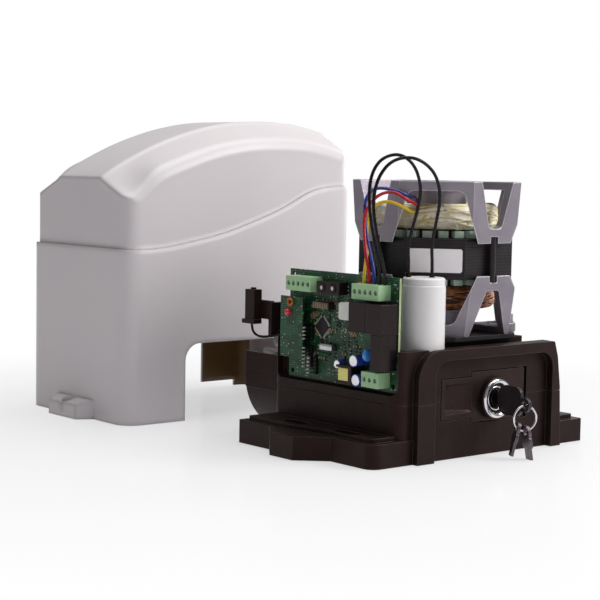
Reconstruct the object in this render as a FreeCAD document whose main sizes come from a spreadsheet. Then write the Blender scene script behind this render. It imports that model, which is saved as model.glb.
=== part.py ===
import FreeCAD, Part
import math
import os
import Sketcher
from FreeCAD import Rotation, Vector as V

# Sliding gate motor, cover off, in millimetres.
# +Z is up, +X runs along the gate, -Y is the release side and +Y the rack side.
# The origin is on the foundation face, in the middle of the mounting slots.

doc = FreeCAD.newDocument("sliding_gate_motor")
sheet = doc.addObject("Spreadsheet::Sheet", "Sizes")

# ---------------------------------------------------------------- driving sizes
SIZES = (
    # flange of the lower housing, seen from above
    ("flange_left", 101.5), ("flange_left_front", 96.0), ("flange_right", 108.0),
    ("flange_front", 61.0), ("flange_rear", 71.0), ("rim_height", 16.0),
    ("ledge_rise", 3.0), ("ledge_inset", 5.0), ("bulge_reach", 13.0),
    ("bulge_front", 4.0), ("bulge_rear", 19.5), ("flange_corner", 8.0),
    ("slot_width", 9.0), ("slot_length", 22.0), ("slot_x", 86.0), ("slot_y", 26.0),
    # gear case
    ("case_left", 73.0), ("case_right", 77.5), ("case_front", 60.0), ("case_rear", 69.0),
    ("case_corner", 8.0), ("case_wall", 4.0), ("floor_thick", 4.0), ("axis_height", 39.0),
    ("seam_gap", 0.3), ("deck_height", 68.5), ("deck_thick", 2.1), ("coaming_rise", 5.5),
    ("coaming_thick", 10.0),
    # arched frame round the release door
    ("arch_left", 60.0), ("arch_proud", 5.5), ("arch_radius", 20.0), ("arch_drop", 6.5),
    ("door_left", 44.5), ("door_right", 69.5), ("door_top", 67.0), ("door_corner", 11.0),
    # pocket that holds the circuit board
    ("pocket_depth", 6.4), ("pocket_front", 57.0), ("pocket_rear", 64.5), ("pocket_sill", 45.0),
    # release lever and lock
    ("lever_left", 34.0), ("lever_right", 48.0), ("lever_low", 23.0), ("lever_high", 57.0),
    ("grip_end", 5.5), ("grip_step", 3.4), ("lever_thick", 7.0), ("lever_gap", 0.6),
    ("hinge_radius", 2.0), ("pin_clear", 0.05),
    ("lock_x", 16.2), ("lock_height", 38.0), ("lock_barrel", 9.0), ("lock_bezel", 14.5),
    ("plug_radius", 6.5), ("key_thick", 2.6), ("key_head", 27.6), ("key_tall", 20.0),
    ("ring_radius", 8.3), ("eye_drop", 1.5), ("ring_wire", 0.8),
    # gears
    ("worm_x", 17.0), ("worm_y", 0.5), ("centre_distance", 40.0), ("gear_module", 2.0),
    ("wheel_teeth", 25.0), ("wheel_width", 15.0), ("worm_length", 36.0), ("tooth_play", 0.5),
    ("output_radius", 10.0), ("bush_wall", 3.0), ("pinion_module", 4.0), ("pinion_teeth", 15.0),
    ("pinion_width", 30.0), ("guard_wall", 2.2), ("guard_radius", 40.5), ("guard_end", 112.0),
    ("guard_top", 58.0),
    # motor
    ("shaft_radius", 6.0), ("rotor_radius", 27.0), ("air_gap", 0.5), ("stator_flat", 51.5),
    ("stator_side", 46.0), ("stack_base", 118.0), ("stack_top", 145.5),
    ("bracket_proud", 6.0), ("bracket_side", 44.0), ("cradle_bolt_circle", 50.0),
    ("crown_top", 184.0), ("crown_seat", 3.0), ("cradle_rise", 11.0), ("cradle_seat", 2.5),
    ("plate_thick", 3.0), ("winding_radius", 43.0), ("winding_bore", 29.0),
    ("tie_radius", 2.5), ("tie_circle", 54.6), ("bearing_outer", 16.0), ("bearing_width", 10.0),
    # start capacitor
    ("can_radius", 14.6), ("can_height", 52.3), ("can_x", 39.6), ("can_y", 46.7),
    # control board
    ("board_thick", 1.6), ("board_front", 54.0), ("board_rear", 56.5), ("board_low", 46.5),
    ("board_high", 121.5), ("pole_pitch", 5.08), ("block_depth", 11.0), ("block_tall", 10.0),
    ("relay_wide", 15.5), ("relay_tall", 19.5), ("relay_deep", 15.0), ("board_gap", 8.0),
    # cover, standing beside the unit
    ("cover_length", 220.0), ("cover_width", 138.0), ("cover_wall", 2.5), ("cover_step", 2.6),
    ("cover_x", 131.6), ("cover_y", 167.0), ("cover_corner", 14.0), ("cover_crest", 227.7),
    ("cover_shoulder", 214.7),
    ("cutout_left", 53.5), ("cutout_width", 142.0), ("cutout_top", 58.0), ("band_half", 29.0),
    ("rear_cutout", 169.0), ("rear_lift", 5.2),
    # leads
    ("lead_diameter", 2.2), ("sensor_lead", 1.8),
)


class Size:
    """A length that knows its value and the sheet expression behind it."""

    def __init__(self, value, text):
        self.value = float(value)
        self.text = text

    def __add__(self, other):
        other = as_size(other)
        return Size(self.value + other.value, f"({self.text} + {other.text})")

    def __radd__(self, other):
        return as_size(other) + self

    def __sub__(self, other):
        other = as_size(other)
        return Size(self.value - other.value, f"({self.text} - {other.text})")

    def __rsub__(self, other):
        return as_size(other) - self

    def __mul__(self, other):
        other = as_size(other)
        return Size(self.value * other.value, f"({self.text} * {other.text})")

    __rmul__ = __mul__

    def __truediv__(self, other):
        other = as_size(other)
        return Size(self.value / other.value, f"({self.text} / {other.text})")

    def __neg__(self):
        return Size(-self.value, f"(0 - {self.text})")

    def __float__(self):
        return self.value


def as_size(number):
    """Return number as a Size."""
    if isinstance(number, Size):
        return number
    return Size(number, f"({float(number):.6f})")


class Sheet:
    """Names the cells of the spreadsheet as attributes."""


z = Sheet()
for row, (alias, value) in enumerate(SIZES, start=1):
    sheet.set(f"A{row}", str(value))
    sheet.setAlias(f"A{row}", alias)
    setattr(z, alias, Size(value, f"Sizes.{alias}"))
doc.recompute()

# heights that follow from the sizes above
coaming_top = z.deck_height + z.coaming_rise
cradle_foot = z.deck_height + z.cradle_rise
cradle_head = z.stack_base + z.cradle_seat
crown_foot = z.stack_top - z.crown_seat

# ---------------------------------------------------------------- small helpers
nodes = []
ORIGIN = V(0, 0, 0)
TURN = {
    "z": FreeCAD.Rotation(),
    "x": FreeCAD.Rotation(V(0, 1, 0), 90),
    "y": FreeCAD.Rotation(V(1, 0, 0), -90),
}


def bind(obj, prop, size):
    """Tie one property to its sheet expression."""
    obj.setExpression(prop, as_size(size).text)


def place(obj, x, y, height):
    """Tie the position of an object to the sheet."""
    bind(obj, "Placement.Base.x", x)
    bind(obj, "Placement.Base.y", y)
    bind(obj, "Placement.Base.z", height)
    return obj


def new(kind, name):
    """Add one document object with a free name."""
    return doc.addObject(kind, name)


def box(name, low, size):
    """Return a box from its low corner and its three sizes."""
    made = new("Part::Box", name)
    for prop, value in zip(("Length", "Width", "Height"), size):
        bind(made, prop, value)
    return place(made, *low)


def span(name, x0, x1, y0, y1, z0, z1):
    """Return a box between two corners."""
    return box(name, (x0, y0, z0), (as_size(x1) - x0, as_size(y1) - y0, as_size(z1) - z0))


def rod(name, axis, start, radius, length):
    """Return a cylinder along +x, +y or +z from the centre of its first face."""
    made = new("Part::Cylinder", name)
    bind(made, "Radius", radius)
    bind(made, "Height", length)
    made.Placement = FreeCAD.Placement(ORIGIN, TURN[axis])
    return place(made, *start)


def fuse(name, *pieces):
    """Return the union of several objects."""
    made = new("Part::MultiFuse", name)
    made.Shapes = list(pieces)
    made.Refine = True
    return made


def cut(name, base, *tools):
    """Return base with the tools taken away."""
    made = new("Part::Cut", name)
    made.Base = base
    made.Tool = tools[0] if len(tools) == 1 else fuse(name + "_tools", *tools)
    return made


def common(name, base, tool):
    """Return what two objects share."""
    made = new("Part::Common", name)
    made.Base = base
    made.Tool = tool
    return made


def group(name, pieces):
    """Return separate solids as one object."""
    made = new("Part::Compound", name)
    made.Links = list(pieces)
    return made


def solid(name, shape):
    """Return an object that holds a ready shape."""
    made = new("Part::Feature", name)
    made.Shape = shape
    return made


def node(label, obj):
    """Name a finished sub-part."""
    obj.Label = label
    nodes.append(obj)
    return obj


PLANES = {"xy": "XY_Plane", "xz": "XZ_Plane", "yz": "YZ_Plane"}


def outline_body(name, plane, points, length, start, rounds=()):
    """Return a padded polygon.

    points are pairs of sizes in the sketch plane, start moves the sketch along its
    normal, and rounds lists (corner numbers, radius) for the edges to fillet.
    """
    body = new("PartDesign::Body", name)
    base = [f for f in body.Origin.OriginFeatures if f.Role == PLANES[plane]][0]
    sketch = body.newObject("Sketcher::SketchObject", name + "_sketch")
    sketch.AttachmentSupport = [(base, "")]
    sketch.MapMode = "FlatFace"
    bind(sketch, "AttachmentOffset.Base.z", start)
    flat = [V(float(a), float(b), 0) for a, b in points]
    count = len(flat)
    for i in range(count):
        sketch.addGeometry(Part.LineSegment(flat[i], flat[(i + 1) % count]), False)
    for i in range(count):
        sketch.addConstraint(Sketcher.Constraint("Coincident", i, 2, (i + 1) % count, 1))
    for i, (a, b) in enumerate(points):
        for kind, size in (("DistanceX", a), ("DistanceY", b)):
            number = sketch.addConstraint(
                Sketcher.Constraint(kind, -1, 1, i, 1, float(size)))
            sketch.setExpression(f"Constraints[{number}]", as_size(size).text)
    pad = body.newObject("PartDesign::Pad", name + "_pad")
    pad.Profile = sketch
    bind(pad, "Length", length)
    doc.recompute()
    last = pad
    for corners, radius in rounds:
        edges = corner_edges(last, sketch, [flat[i] for i in corners])
        made = body.newObject("PartDesign::Fillet", f"{name}_round{len(body.Group)}")
        made.Base = (last, edges)
        bind(made, "Radius", radius)
        doc.recompute()
        last = made
    body.Tip = last
    return body


def corner_edges(feature, sketch, corners):
    """Return the names of the straight edges that rise from the given sketch corners."""
    names = []
    place_now = sketch.Placement
    normal = place_now.Rotation.multVec(V(0, 0, 1))
    for corner in corners:
        at = place_now.multVec(corner)
        for number, edge in enumerate(feature.Shape.Edges, start=1):
            ends = [v.Point for v in edge.Vertexes]
            if len(ends) != 2:
                continue
            run = ends[1] - ends[0]
            if run.Length < 1e-6 or run.cross(normal).Length > 1e-4 * run.Length:
                continue
            if (ends[0] - at).cross(normal).Length < 1e-3:
                names.append(f"Edge{number}")
                break
    return names


def polygon_face(points):
    """Return a flat face through the given points."""
    return Part.Face(Part.makePolygon(list(points) + [points[0]]))


def smooth(points):
    """Return one smooth edge through the given points."""
    curve = Part.BSplineCurve()
    curve.interpolate(list(points))
    return curve.toShape()


def route_wire(points):
    """Return straight runs joined by tangent arcs, with the radii used."""
    edges, radii = [], []
    here = points[0]
    for i in range(1, len(points) - 1):
        before, after = points[i] - points[i - 1], points[i + 1] - points[i]
        half = before.getAngle(after) / 2
        shorter = min(before.Length, after.Length)
        setback = 0.45 * shorter
        radii.append(setback / math.tan(half))
        first = points[i] - V(before).normalize() * setback
        last = points[i] + V(after).normalize() * setback
        inward = (V(after).normalize() - V(before).normalize()).normalize()
        middle = points[i] + inward * (radii[-1] / math.cos(half) - radii[-1])
        edges.append(Part.makeLine(here, first))
        edges.append(Part.Arc(first, middle, last).toShape())
        here = last
    edges.append(Part.makeLine(here, points[-1]))
    return Part.Wire(edges), radii


def lead(label, points, diameter):
    """Return a flexible lead as a tube along its route."""
    points = [V(*p) for p in points]
    wire, radii = route_wire(points)
    section = Part.Wire(Part.makeCircle(float(diameter) / 2, points[0], points[1] - points[0]))
    tube = wire.makePipeShell([section], True, False)
    wanted = math.pi * (float(diameter) / 2) ** 2 * wire.Length
    print(f"{label}: length {wire.Length:.1f}, smallest radius {min(radii):.1f},"
          f" volume {tube.Volume / wanted:.4f} of section times length")
    return node(label, solid(label + "_tube", tube))


# ---------------------------------------------------------------- lower housing
def flange_points(inset):
    """Return the outline of the flange, drawn in by inset all round."""
    left, front_left = inset - z.flange_left, inset - z.flange_left_front
    bulge_left = inset - z.flange_left - z.bulge_reach
    right, bulge_right = z.flange_right - inset, z.flange_right + z.bulge_reach * 0.8 - inset
    front, rear = inset - z.flange_front, z.flange_rear - inset
    low, high = inset - z.bulge_front, z.bulge_rear - inset
    slant = z.bulge_reach * 1.3
    return [
        (left, rear), (left, high + slant), (bulge_left, high), (bulge_left, low),
        (front_left, low - slant), (front_left, front), (right, front),
        (right, low - slant), (bulge_right, low), (bulge_right, high), (right, high + slant),
        (right, rear),
    ]


def slot(name, x, y):
    """Return the tool for one mounting slot, long along Y."""
    half = z.slot_length / 2 - z.slot_width / 2
    ends = [rod(f"{name}_end{i}", "z", (x, y + half * side, -1), z.slot_width / 2,
                z.rim_height + z.ledge_rise + 2) for i, side in enumerate((-1, 1))]
    middle = span(name + "_mid", x - z.slot_width / 2, x + z.slot_width / 2, y - half, y + half,
                  -1, z.rim_height + z.ledge_rise + 1)
    return fuse(name, middle, *ends)


rim = outline_body("rim", "xy", flange_points(as_size(0)), z.rim_height, 0,
                   [((5,), z.flange_corner), ((0, 6, 11), 2)])


def ledge_points():
    """Return the outline of the raised ledge, which passes the bulges by."""
    inset = z.ledge_inset
    left, front_left = inset - z.flange_left, inset - z.flange_left_front
    right, front, rear = z.flange_right - inset, inset - z.flange_front, z.flange_rear - inset
    return [(left, rear), (left, z.bulge_rear), (front_left, -z.bulge_rear), (front_left, front),
            (right, front), (right, rear)]


ledge = outline_body("ledge", "xy", ledge_points(), z.ledge_rise, z.rim_height,
                     [((3,), z.flange_corner - 3), ((0, 4, 5), 2)])


def case_points(inset):
    """Return the plan of the gear case, drawn in by inset."""
    return [(inset - z.case_left, inset - z.case_front), (z.case_right - inset, inset - z.case_front),
            (z.case_right - inset, z.case_rear - inset), (inset - z.case_left, z.case_rear - inset)]


def case_block(name, low, high, inset, radius):
    """Return a block of the gear case's plan between two heights."""
    return outline_body(name, "xy", case_points(as_size(inset)), as_size(high) - low, low,
                        [((0, 1, 2, 3), radius)])


def arch_block(name, y_front, y_back):
    """Return a slice of the arched front between two depths."""
    top, left, right = coaming_top, -z.arch_left, z.case_right
    points = [(left, 0), (left, top), (right - z.arch_drop, top),
              (right - z.arch_drop * 0.45, top - 1.7 * z.arch_drop), (right, z.axis_height + 3),
              (right + 2, 0)]
    return outline_body(name, "xz", points, as_size(y_back) - y_front, y_back * -1,
                        [((1,), z.arch_radius), ((2,), 1.5), ((3,), z.arch_drop)])


upper_base = z.axis_height + z.seam_gap
cavity_front = as_size(0) - 46
front_face = -z.case_front - z.arch_proud


def door_tool(name):
    """Return the tool that sinks the door face behind the arched frame."""
    points = [(-z.door_left, -1), (-z.door_left, z.door_top), (z.door_right, z.door_top),
              (z.door_right, -1)]
    return outline_body(name, "xz", points, z.arch_proud + 1, z.case_front,
                        [((1, 2), z.door_corner)])


lever_box = dict(x0=-z.lever_left - z.lever_gap, x1=z.lever_right + z.lever_gap,
                 z0=z.lever_low - z.lever_gap, z1=z.lever_high + z.lever_gap)
grip_box = dict(z0=z.lever_low + z.grip_step, z1=z.lever_high - z.grip_step)
lever_face = -z.case_front - 0.2
lever_back = lever_face + z.lever_thick
hinge_x = z.lever_right - z.lever_thick / 2
hinge_y = lever_back - z.lever_thick / 2


def lever_pocket(name):
    """Return the tool for the recess that the release lever closes."""
    wide = span(name + "_wide", -z.grip_end - z.lever_gap, lever_box["x1"], front_face - 1,
                lever_back + 9, lever_box["z0"], lever_box["z1"])
    grip = span(name + "_grip", lever_box["x0"], -z.grip_end, front_face - 1, lever_back + 9,
                grip_box["z0"] - z.lever_gap, grip_box["z1"] + z.lever_gap)
    return fuse(name, wide, grip)


wheel_x = z.worm_x - z.centre_distance
wheel_y = z.worm_y
bush_radius = z.output_radius + z.bush_wall
front_bush_y = wheel_y - 31
rear_bush_y = z.case_rear - 16
wheel_outer = z.gear_module * z.wheel_teeth / 2 + z.gear_module


def saddle(name, low, high):
    """Return the blocks that carry the two output bushes between two heights."""
    front = span(name + "_front", wheel_x - bush_radius - 5, wheel_x + bush_radius + 5,
                 front_bush_y, front_bush_y + 14, low, high)
    rear = span(name + "_rear", wheel_x - bush_radius - 5, wheel_x + bush_radius + 5,
                rear_bush_y, z.case_rear - 1, low, high)
    return [front, rear]


def bush_bore(name):
    """Return the tools for the two bush seats and the shaft's way out."""
    return [
        rod(name + "_front", "y", (wheel_x, front_bush_y + 2, z.axis_height), bush_radius, 14),
        rod(name + "_rear", "y", (wheel_x, rear_bush_y - 1, z.axis_height), bush_radius, 22),
    ]


def pin_seat(name):
    """Return the tool for the seats that hold both ends of the lever's pin."""
    return rod(name, "z", (hinge_x, hinge_y, z.lever_low - z.lever_gap - 4), z.hinge_radius,
               z.lever_high - z.lever_low + 2 * z.lever_gap + 8)


def make_lower_housing():
    """Return the lower housing: flange, case floor and walls, bush saddles and bearing post."""
    walls = case_block("lower_walls", 0, z.axis_height, 0, z.case_corner)
    arch = common("lower_arch", arch_block("lower_arch_full", front_face, -z.case_front + 10),
                  span("lower_arch_cut", -150, 150, -90, 0, 0, z.axis_height))
    shell = fuse("lower_solid", rim, ledge, walls, arch)
    cavity = span("lower_cavity", z.case_wall - z.case_left, z.case_right - z.case_wall,
                  cavity_front, z.case_rear - z.case_wall, z.floor_thick, z.axis_height + 1)
    slots = [slot(f"slot{i}", z.slot_x * sx, z.slot_y * sy)
             for i, (sx, sy) in enumerate(((-1, -1), (1, -1), (-1, 1), (1, 1)))]
    hollow = cut("lower_hollow", shell, cavity, door_tool("lower_door"),
                 lever_pocket("lower_pocket"), *slots)
    post = rod("bearing_post", "z", (z.worm_x, z.worm_y, z.floor_thick - 1), 15, 10)
    filled = fuse("lower_filled", hollow, post, *saddle("lower_saddle", 3, z.axis_height))
    seat = rod("bearing_seat", "z", (z.worm_x, z.worm_y, z.floor_thick + 1), 11, 20)
    return cut("lower_cut", filled, seat, pin_seat("lower_pin"), *bush_bore("lower_bush"))


node("lower_housing", make_lower_housing())


# ---------------------------------------------------------------- upper housing
boss_half = as_size(44)
boss_top = cradle_foot - z.plate_thick


def make_upper_housing():
    """Return the upper housing: walls, deck, raised sides, board pocket and motor boss."""
    walls = case_block("upper_walls", upper_base, coaming_top, 0, z.case_corner)
    arch = common("upper_arch", arch_block("upper_arch_full", front_face, -z.case_front + 10),
                  span("upper_arch_cut", -150, 150, -90, 0, upper_base, 90))
    side = z.coaming_thick
    drop = span("deck_drop", side + 2 - z.case_left, z.case_right + 5,
                -z.case_front + side - 4, z.case_rear + 5, z.deck_height, coaming_top + 5)
    right = solid("right_shoulder", shoulder_tool())
    cavity = span("upper_cavity", z.case_wall + 6 - z.case_left, z.case_right - z.case_wall - 6,
                  cavity_front, z.case_rear - z.case_wall, upper_base - 1,
                  z.deck_height - z.deck_thick)
    pocket = outline_body("board_pocket", "yz",
                          [(-z.pocket_front, z.pocket_sill), (z.pocket_rear, z.pocket_sill),
                           (z.pocket_rear, coaming_top + 5), (-z.pocket_front, coaming_top + 5)],
                          z.pocket_depth + 5, -z.case_left - 5, [((0, 1), 5)])
    hollow = cut("upper_hollow", fuse("upper_solid", walls, arch), drop, right, cavity, pocket,
                 door_tool("upper_door"), lever_pocket("upper_pocket"))
    boss = span("motor_boss", z.worm_x - boss_half, z.worm_x + boss_half,
                z.worm_y - boss_half, z.worm_y + boss_half,
                z.deck_height - z.deck_thick, boss_top)
    seat = cut("can_seat", rod("can_ring", "z", (-z.can_x, -z.can_y, z.deck_height - 1),
                               z.can_radius + 1.6, 3.5),
               rod("can_ring_bore", "z", (-z.can_x, -z.can_y, z.deck_height), z.can_radius + 0.1, 5))
    filled = fuse("upper_filled", hollow, boss, seat,
                  *saddle("upper_saddle", upper_base, z.deck_height - 1))
    shaft_way = rod("shaft_way", "z", (z.worm_x, z.worm_y, z.deck_height - 10),
                    z.shaft_radius + 3, 30)
    wheel_way = rod("wheel_way", "y", (wheel_x, wheel_y - z.wheel_width / 2 - 1, z.axis_height),
                    wheel_outer + 0.6, z.wheel_width + 2)
    can_recess = rod("can_recess", "z", (-z.can_x, -z.can_y, z.deck_height), z.can_radius + 0.15, 20)
    return cut("upper_cut", filled, shaft_way, wheel_way, can_recess, pin_seat("upper_pin"),
               *bush_bore("upper_bush"))


def shoulder_tool():
    """Return the wedge that slopes the right-hand wall in towards its top."""
    right, drop = float(z.case_right), float(z.arch_drop)
    top, base = float(coaming_top), float(coaming_top) - 1.6 * drop
    points = [V(right, -90, base - 15), V(right - 0.45 * drop, -90, base), V(right - drop, -90, top),
              V(right - drop, -90, top + 9), V(right + 9, -90, top + 9), V(right + 9, -90, base - 15)]
    return polygon_face(points).extrude(V(0, 200, 0))


node("upper_housing", make_upper_housing())


# ---------------------------------------------------------------- pinion guard
def make_guard():
    """Return the trough round the lower half of the pinion, with two ribs a side."""
    start = z.case_rear
    length = z.guard_end - start
    outer = fuse("guard_outer",
                 rod("guard_round", "y", (wheel_x, start, z.axis_height), z.guard_radius, length),
                 span("guard_sides", wheel_x - z.guard_radius, wheel_x + z.guard_radius, start,
                      z.guard_end, z.axis_height, z.guard_top))
    inner_radius = z.guard_radius - z.guard_wall
    inner = fuse("guard_inner",
                 rod("guard_bore", "y", (wheel_x, start + 2.5, z.axis_height), inner_radius, length),
                 span("guard_mouth", wheel_x - inner_radius, wheel_x + inner_radius, start + 2.5,
                      z.guard_end + 5, z.axis_height, z.guard_top + 20),
                 rod("guard_shaft_way", "y", (wheel_x, start - 1, z.axis_height), bush_radius + 1, 9))
    lid_off = span("guard_trim", wheel_x - 60, wheel_x + 60, start - 1, z.guard_end + 1,
                   z.guard_top, z.guard_top + 60)
    flange_room = span("guard_flange_room", wheel_x - 60, wheel_x + 60, start - 1, z.flange_rear,
                       -5, z.rim_height + z.ledge_rise)
    trough = cut("guard_trough", outer, inner, lid_off, flange_room)
    ribs = [span(f"guard_rib{i}{j}", wheel_x + (z.guard_radius - 0.8) * side - 0.9,
                 wheel_x + (z.guard_radius - 0.8) * side + 0.9, start, z.guard_end,
                 height, height + 2)
            for i, side in enumerate((-1, 1)) for j, height in enumerate((32.0, 45.0))]
    return fuse("guard_ribbed", trough, *ribs)


node("pinion_guard", make_guard())


# ---------------------------------------------------------------- release lever and lock
def make_lever():
    """Return the release lever: a flat door with a scooped grip and a lock seat."""
    plate = span("lever_plate", -z.grip_end, hinge_x, lever_face, lever_back,
                 z.lever_low, z.lever_high)
    grip = span("lever_grip", -z.lever_left, 1 - z.grip_end, lever_face, lever_back,
                grip_box["z0"], grip_box["z1"])
    nose = rod("lever_nose", "z", (hinge_x, hinge_y, z.lever_low), z.lever_thick / 2,
               z.lever_high - z.lever_low)
    boss = rod("lever_boss", "y", (z.lock_x, lever_back - 1, z.lock_height), z.lock_barrel + 2.2, 5)
    scoop = solid("lever_scoop", scoop_tool())
    barrel_way = rod("barrel_way", "y", (z.lock_x, lever_face - 1, z.lock_height),
                     z.lock_barrel + 0.05, 20)
    pin_way = rod("pin_way", "z", (hinge_x, hinge_y, z.lever_low - 1), z.hinge_radius + z.pin_clear,
                  z.lever_high - z.lever_low + 2)
    return cut("lever_cut", fuse("lever_solid", plate, grip, nose, boss), scoop, barrel_way,
               pin_way)


def scoop_tool():
    """Return the slanted scoop for the fingers at the lever's free end."""
    left, face = -float(z.lever_left), float(lever_face)
    low, high = float(grip_box["z0"]) + 3, float(grip_box["z1"]) - 3
    outer = [V(left + 3, face - 0.5, low), V(left + 29, face - 0.5, low),
             V(left + 29, face - 0.5, high), V(left + 3, face - 0.5, high)]
    inner = [V(left + 7, face + 3.8, low + 3), V(left + 27, face + 1.2, low + 2),
             V(left + 27, face + 1.2, high - 2), V(left + 7, face + 3.8, high - 3)]
    return Part.makeLoft([Part.makePolygon(outer + outer[:1]), Part.makePolygon(inner + inner[:1])],
                         True, True)


node("release_lever", make_lever())
node("lever_pin", rod("lever_pin_rod", "z", (hinge_x, hinge_y, z.lever_low - z.lever_gap - 4),
                      z.hinge_radius, z.lever_high - z.lever_low + 2 * z.lever_gap + 8))

bezel_face = lever_face - 3.5


def make_lock_body():
    """Return the lock's fixed barrel with its flange."""
    barrel = rod("barrel", "y", (z.lock_x, lever_face, z.lock_height), z.lock_barrel, 14)
    flange = rod("flange", "y", (z.lock_x, bezel_face, z.lock_height), z.lock_bezel,
                 lever_face - bezel_face)
    bore = rod("plug_bore", "y", (z.lock_x, bezel_face - 1, z.lock_height), z.plug_radius + 0.05, 30)
    dish = rod("bezel_dish", "y", (z.lock_x, bezel_face - 1, z.lock_height), z.lock_bezel - 4, 2.5)
    return cut("lock_body_cut", fuse("lock_body_solid", barrel, flange), bore, dish)


node("lock_body", make_lock_body())
plug_face = bezel_face - 0.5


def make_plug():
    """Return the lock's turning plug with its keyway."""
    plug = rod("plug_round", "y", (z.lock_x, plug_face, z.lock_height), z.plug_radius, 22)
    keyway = span("keyway", z.lock_x - 1.1, z.lock_x + 1.1, plug_face - 1, plug_face + 16,
                  z.lock_height - 4.2, z.lock_height + 4.2)
    return cut("plug_cut", plug, keyway)


node("lock_plug", make_plug())
cam_y = plug_face + 22


def make_cam():
    """Return the locking cam that the plug turns behind the lever."""
    arm = span("cam_arm", z.lock_x - 4, z.lock_x + 4, cam_y, cam_y + 2, z.lock_height - 4,
               z.lock_height + 14)
    hub = rod("cam_hub", "y", (z.lock_x, cam_y, z.lock_height), z.plug_radius, 2)
    return fuse("cam_fused", arm, hub)


node("lock_cam", make_cam())


def key_shape(length, tall, blade, thick, drop=0.0):
    """Return head and blade of a flat key in the YZ plane, its shoulder at the origin.

    The head is a rounded plate with a narrower eye, set drop below its middle.
    """
    body_length = length - 7.5
    corner = min(tall * 0.3, body_length * 0.4)
    head = Part.makeBox(thick, body_length, tall, V(-thick / 2, -body_length, -tall / 2))
    head = head.makeFillet(corner, [e for e in head.Edges
                                    if abs(e.tangentAt(e.FirstParameter).x) > 0.9])
    eye = Part.makeCylinder(5.0, thick, V(-thick / 2, 5.0 - length, -drop), V(1, 0, 0))
    neck = Part.makeBox(thick, 6.0, 7.6, V(-thick / 2, 3.6 - length, -3.8 - drop))
    hole = Part.makeCylinder(EYE_RADIUS, thick + 2,
                             V(-thick / 2 - 1, EYE_SETBACK - length, -drop), V(1, 0, 0))
    head = head.fuse([eye, neck]).removeSplitter()
    return head.cut(hole), Part.makeBox(1.8, blade, 6.4, V(-0.9, -0.5, -3.2))


EYE_RADIUS = 2.4
EYE_SETBACK = 4.6
RING_TURN = -20


def make_key():
    """Return the key in the plug."""
    head, blade = key_shape(float(z.key_head), float(z.key_tall), 15.5, float(z.key_thick),
                            float(z.eye_drop))
    made = head.fuse(blade).removeSplitter()
    made.translate(V(float(z.lock_x), float(plug_face) - 1.5, float(z.lock_height)))
    return solid("key_solid", made)


node("key", make_key())
hole_y = plug_face - 1.5 - z.key_head + EYE_SETBACK
ring_top = z.lock_height - z.eye_drop - 0.5


def make_ring():
    """Return the split ring through the key's eye, turned a little about the vertical."""
    ring = Part.makeTorus(float(z.ring_radius), float(z.ring_wire), ORIGIN, V(0, 1, 0))
    ring.rotate(ORIGIN, V(0, 0, 1), RING_TURN)
    ring.translate(V(float(z.lock_x), float(hole_y), float(ring_top - z.ring_radius)))
    return solid("ring_solid", ring)


node("key_ring", make_ring())


def spare(place_on_ring, turned, lean, size, hang):
    """Return one spare key that hangs on the ring.

    place_on_ring is its angle from the ring's lowest point, turned the angle of its flat
    side about the vertical, lean how far it hangs off the vertical, and hang how far the
    eye's middle lies below the wire.
    """
    made = key_shape(size, 10.0, 9.0, 2.0)
    made = made[0].fuse(made[1]).removeSplitter()
    made.translate(V(0, size - EYE_SETBACK, 0))
    made.rotate(ORIGIN, V(1, 0, 0), -90)
    made.rotate(ORIGIN, V(0, 1, 0), lean)
    made.rotate(ORIGIN, V(0, 0, 1), turned)
    angle, radius = math.radians(place_on_ring), float(z.ring_radius)
    wire = V(radius * math.sin(angle), 0, -radius * math.cos(angle))
    wire = Rotation(V(0, 0, 1), RING_TURN).multVec(wire)
    made.translate(wire + V(float(z.lock_x), float(hole_y), float(ring_top) - radius - hang))
    return made


node("spare_key", solid("spare_key_solids", Part.makeCompound([
    spare(8, -16, -10, 16.5, 1.0), spare(-40, -34, 12, 15.0, 0.2)])))


# ---------------------------------------------------------------- gears
worm_pitch_radius = z.centre_distance - z.gear_module * z.wheel_teeth / 2
worm_outer = worm_pitch_radius + z.gear_module
worm_root = worm_pitch_radius - 1.25 * z.gear_module
axial_pitch = math.pi * float(z.gear_module)
PRESSURE = math.radians(20)


def make_worm():
    """Return the single-start worm: a core with one helical thread."""
    root, outer = float(worm_root), float(worm_outer)
    length, centre = float(z.worm_length), float(z.axis_height)
    half_pitch_width = axial_pitch / 4 - float(z.tooth_play) / 2
    depth_in = float(worm_pitch_radius) - root + 0.4
    depth_out = outer - float(worm_pitch_radius)
    wide = half_pitch_width + depth_in * math.tan(PRESSURE)
    narrow = half_pitch_width - depth_out * math.tan(PRESSURE)
    turns = math.floor(length / axial_pitch - 0.6)
    height = turns * axial_pitch
    low = centre - height / 2
    helix = Part.makeHelix(axial_pitch, height, root)
    profile = Part.makePolygon([V(root - 0.4, 0, -wide), V(outer, 0, -narrow),
                                V(outer, 0, narrow), V(root - 0.4, 0, wide),
                                V(root - 0.4, 0, -wide)])
    thread = helix.makePipeShell([profile], True, True)
    thread.translate(V(0, 0, low))
    core = Part.makeCylinder(root, length, V(0, 0, centre - length / 2))
    made = core.fuse(thread).removeSplitter()
    made = made.cut(Part.makeCylinder(float(z.shaft_radius), length + 2,
                                      V(0, 0, centre - length / 2 - 1)))
    made.translate(V(float(z.worm_x), float(z.worm_y), 0))
    return solid("worm_solid", made)


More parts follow.
